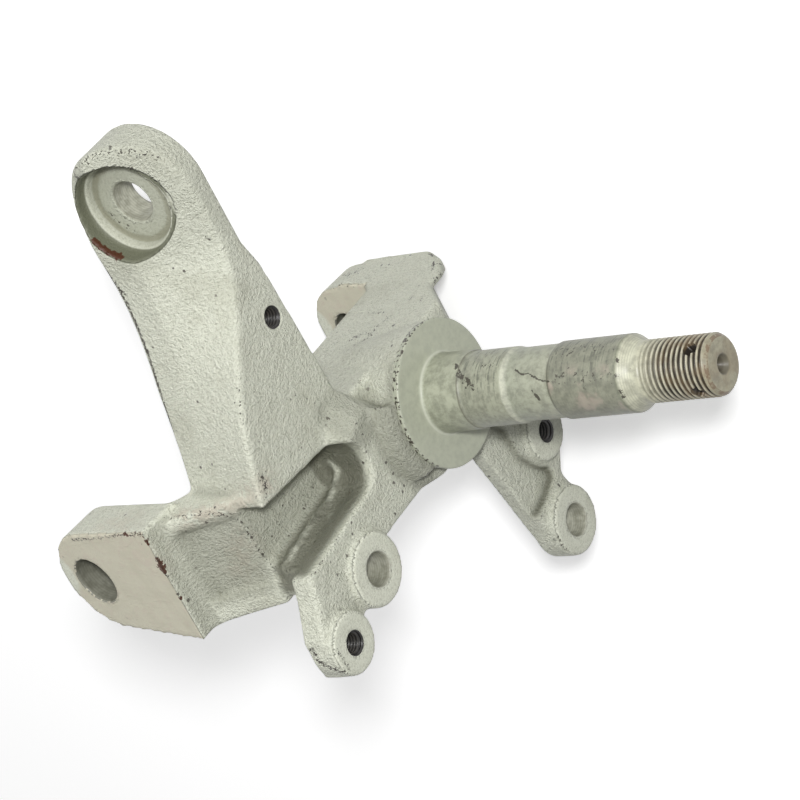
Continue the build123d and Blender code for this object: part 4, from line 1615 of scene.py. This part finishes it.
def white_to_camera(tree):
    """1 for rays that see the backdrop: from the camera, a gloss or glass."""
    path = tree.nodes.new("ShaderNodeLightPath")
    seen = maths(tree, "MAXIMUM", path.outputs["Is Camera Ray"], path.outputs["Is Glossy Ray"])
    return maths(tree, "MAXIMUM", seen, path.outputs["Is Transmission Ray"])


def sky(strength):
    """Even pale light, white where the backdrop is seen."""
    world = bpy.data.worlds.new("sky")
    world.use_nodes = True
    tree = world.node_tree
    tree.nodes.clear()
    light = tree.nodes.new("ShaderNodeBackground")
    light.inputs["Color"].default_value = (1, 1, 1, 1)
    light.inputs["Strength"].default_value = strength
    white = tree.nodes.new("ShaderNodeBackground")
    white.inputs["Color"].default_value = (1, 1, 1, 1)
    white.inputs["Strength"].default_value = 1.0
    both = tree.nodes.new("ShaderNodeMixShader")
    out = tree.nodes.new("ShaderNodeOutputWorld")
    tree.links.new(white_to_camera(tree), both.inputs[0])
    tree.links.new(light.outputs[0], both.inputs[1])
    tree.links.new(white.outputs[0], both.inputs[2])
    tree.links.new(both.outputs[0], out.inputs[0])
    bpy.context.scene.world = world


sky(SKY_STRENGTH)
print("sky", SKY_STRENGTH)

# %% Floor
FLOOR_HALF = 3.0
FLOOR_GAP = 0.5 * MM
FLOOR_NEAR = 0.35
FLOOR_FAR = 0.8
FLOOR_UNSEEN = 0.25
FLOOR_SEEN_MORE = 0.74
GLOW_NEAR = 0.385
GLOW_MORE_FAR = 0.615


def pale_floor(level):
    """Large sheet below the part that shows white and keeps the part's soft shadow."""
    signs = ((-1, -1), (1, -1), (1, 1), (-1, 1))
    corners = [(FLOOR_HALF * a, FLOOR_HALF * b, level) for a, b in signs]
    mesh = bpy.data.meshes.new("floor")
    mesh.from_pydata(corners, [], [(0, 1, 2, 3)])
    made = bpy.data.objects.new("floor", mesh)
    bpy.context.scene.collection.objects.link(made)
    material = bpy.data.materials.new("floor_white")
    material.use_nodes = True
    tree = material.node_tree
    tree.nodes.clear()
    matt = tree.nodes.new("ShaderNodeBsdfDiffuse")
    seen = white_to_camera(tree)
    far = ramp(tree, vector(tree, "LENGTH", here(tree)), FLOOR_NEAR, FLOOR_FAR)
    near = maths(tree, "SUBTRACT", 1.0, far)
    seen_near = maths(tree, "MULTIPLY", seen, near)
    shade = maths(tree, "MULTIPLY_ADD", seen_near, FLOOR_SEEN_MORE, FLOOR_UNSEEN)
    tree.links.new(grey(tree, shade), matt.inputs["Color"])
    glow = tree.nodes.new("ShaderNodeEmission")
    level_of_glow = maths(tree, "MULTIPLY_ADD", far, GLOW_MORE_FAR, GLOW_NEAR)
    tree.links.new(maths(tree, "MULTIPLY", seen, level_of_glow), glow.inputs["Strength"])
    both = tree.nodes.new("ShaderNodeAddShader")
    out = tree.nodes.new("ShaderNodeOutputMaterial")
    tree.links.new(matt.outputs[0], both.inputs[0])
    tree.links.new(glow.outputs[0], both.inputs[1])
    tree.links.new(both.outputs[0], out.inputs[0])
    mesh.materials.append(material)
    return made


pale_floor(cad_box[0][2] - FLOOR_GAP)
bpy.context.scene.view_settings.view_transform = "Standard"
print("studio ready")
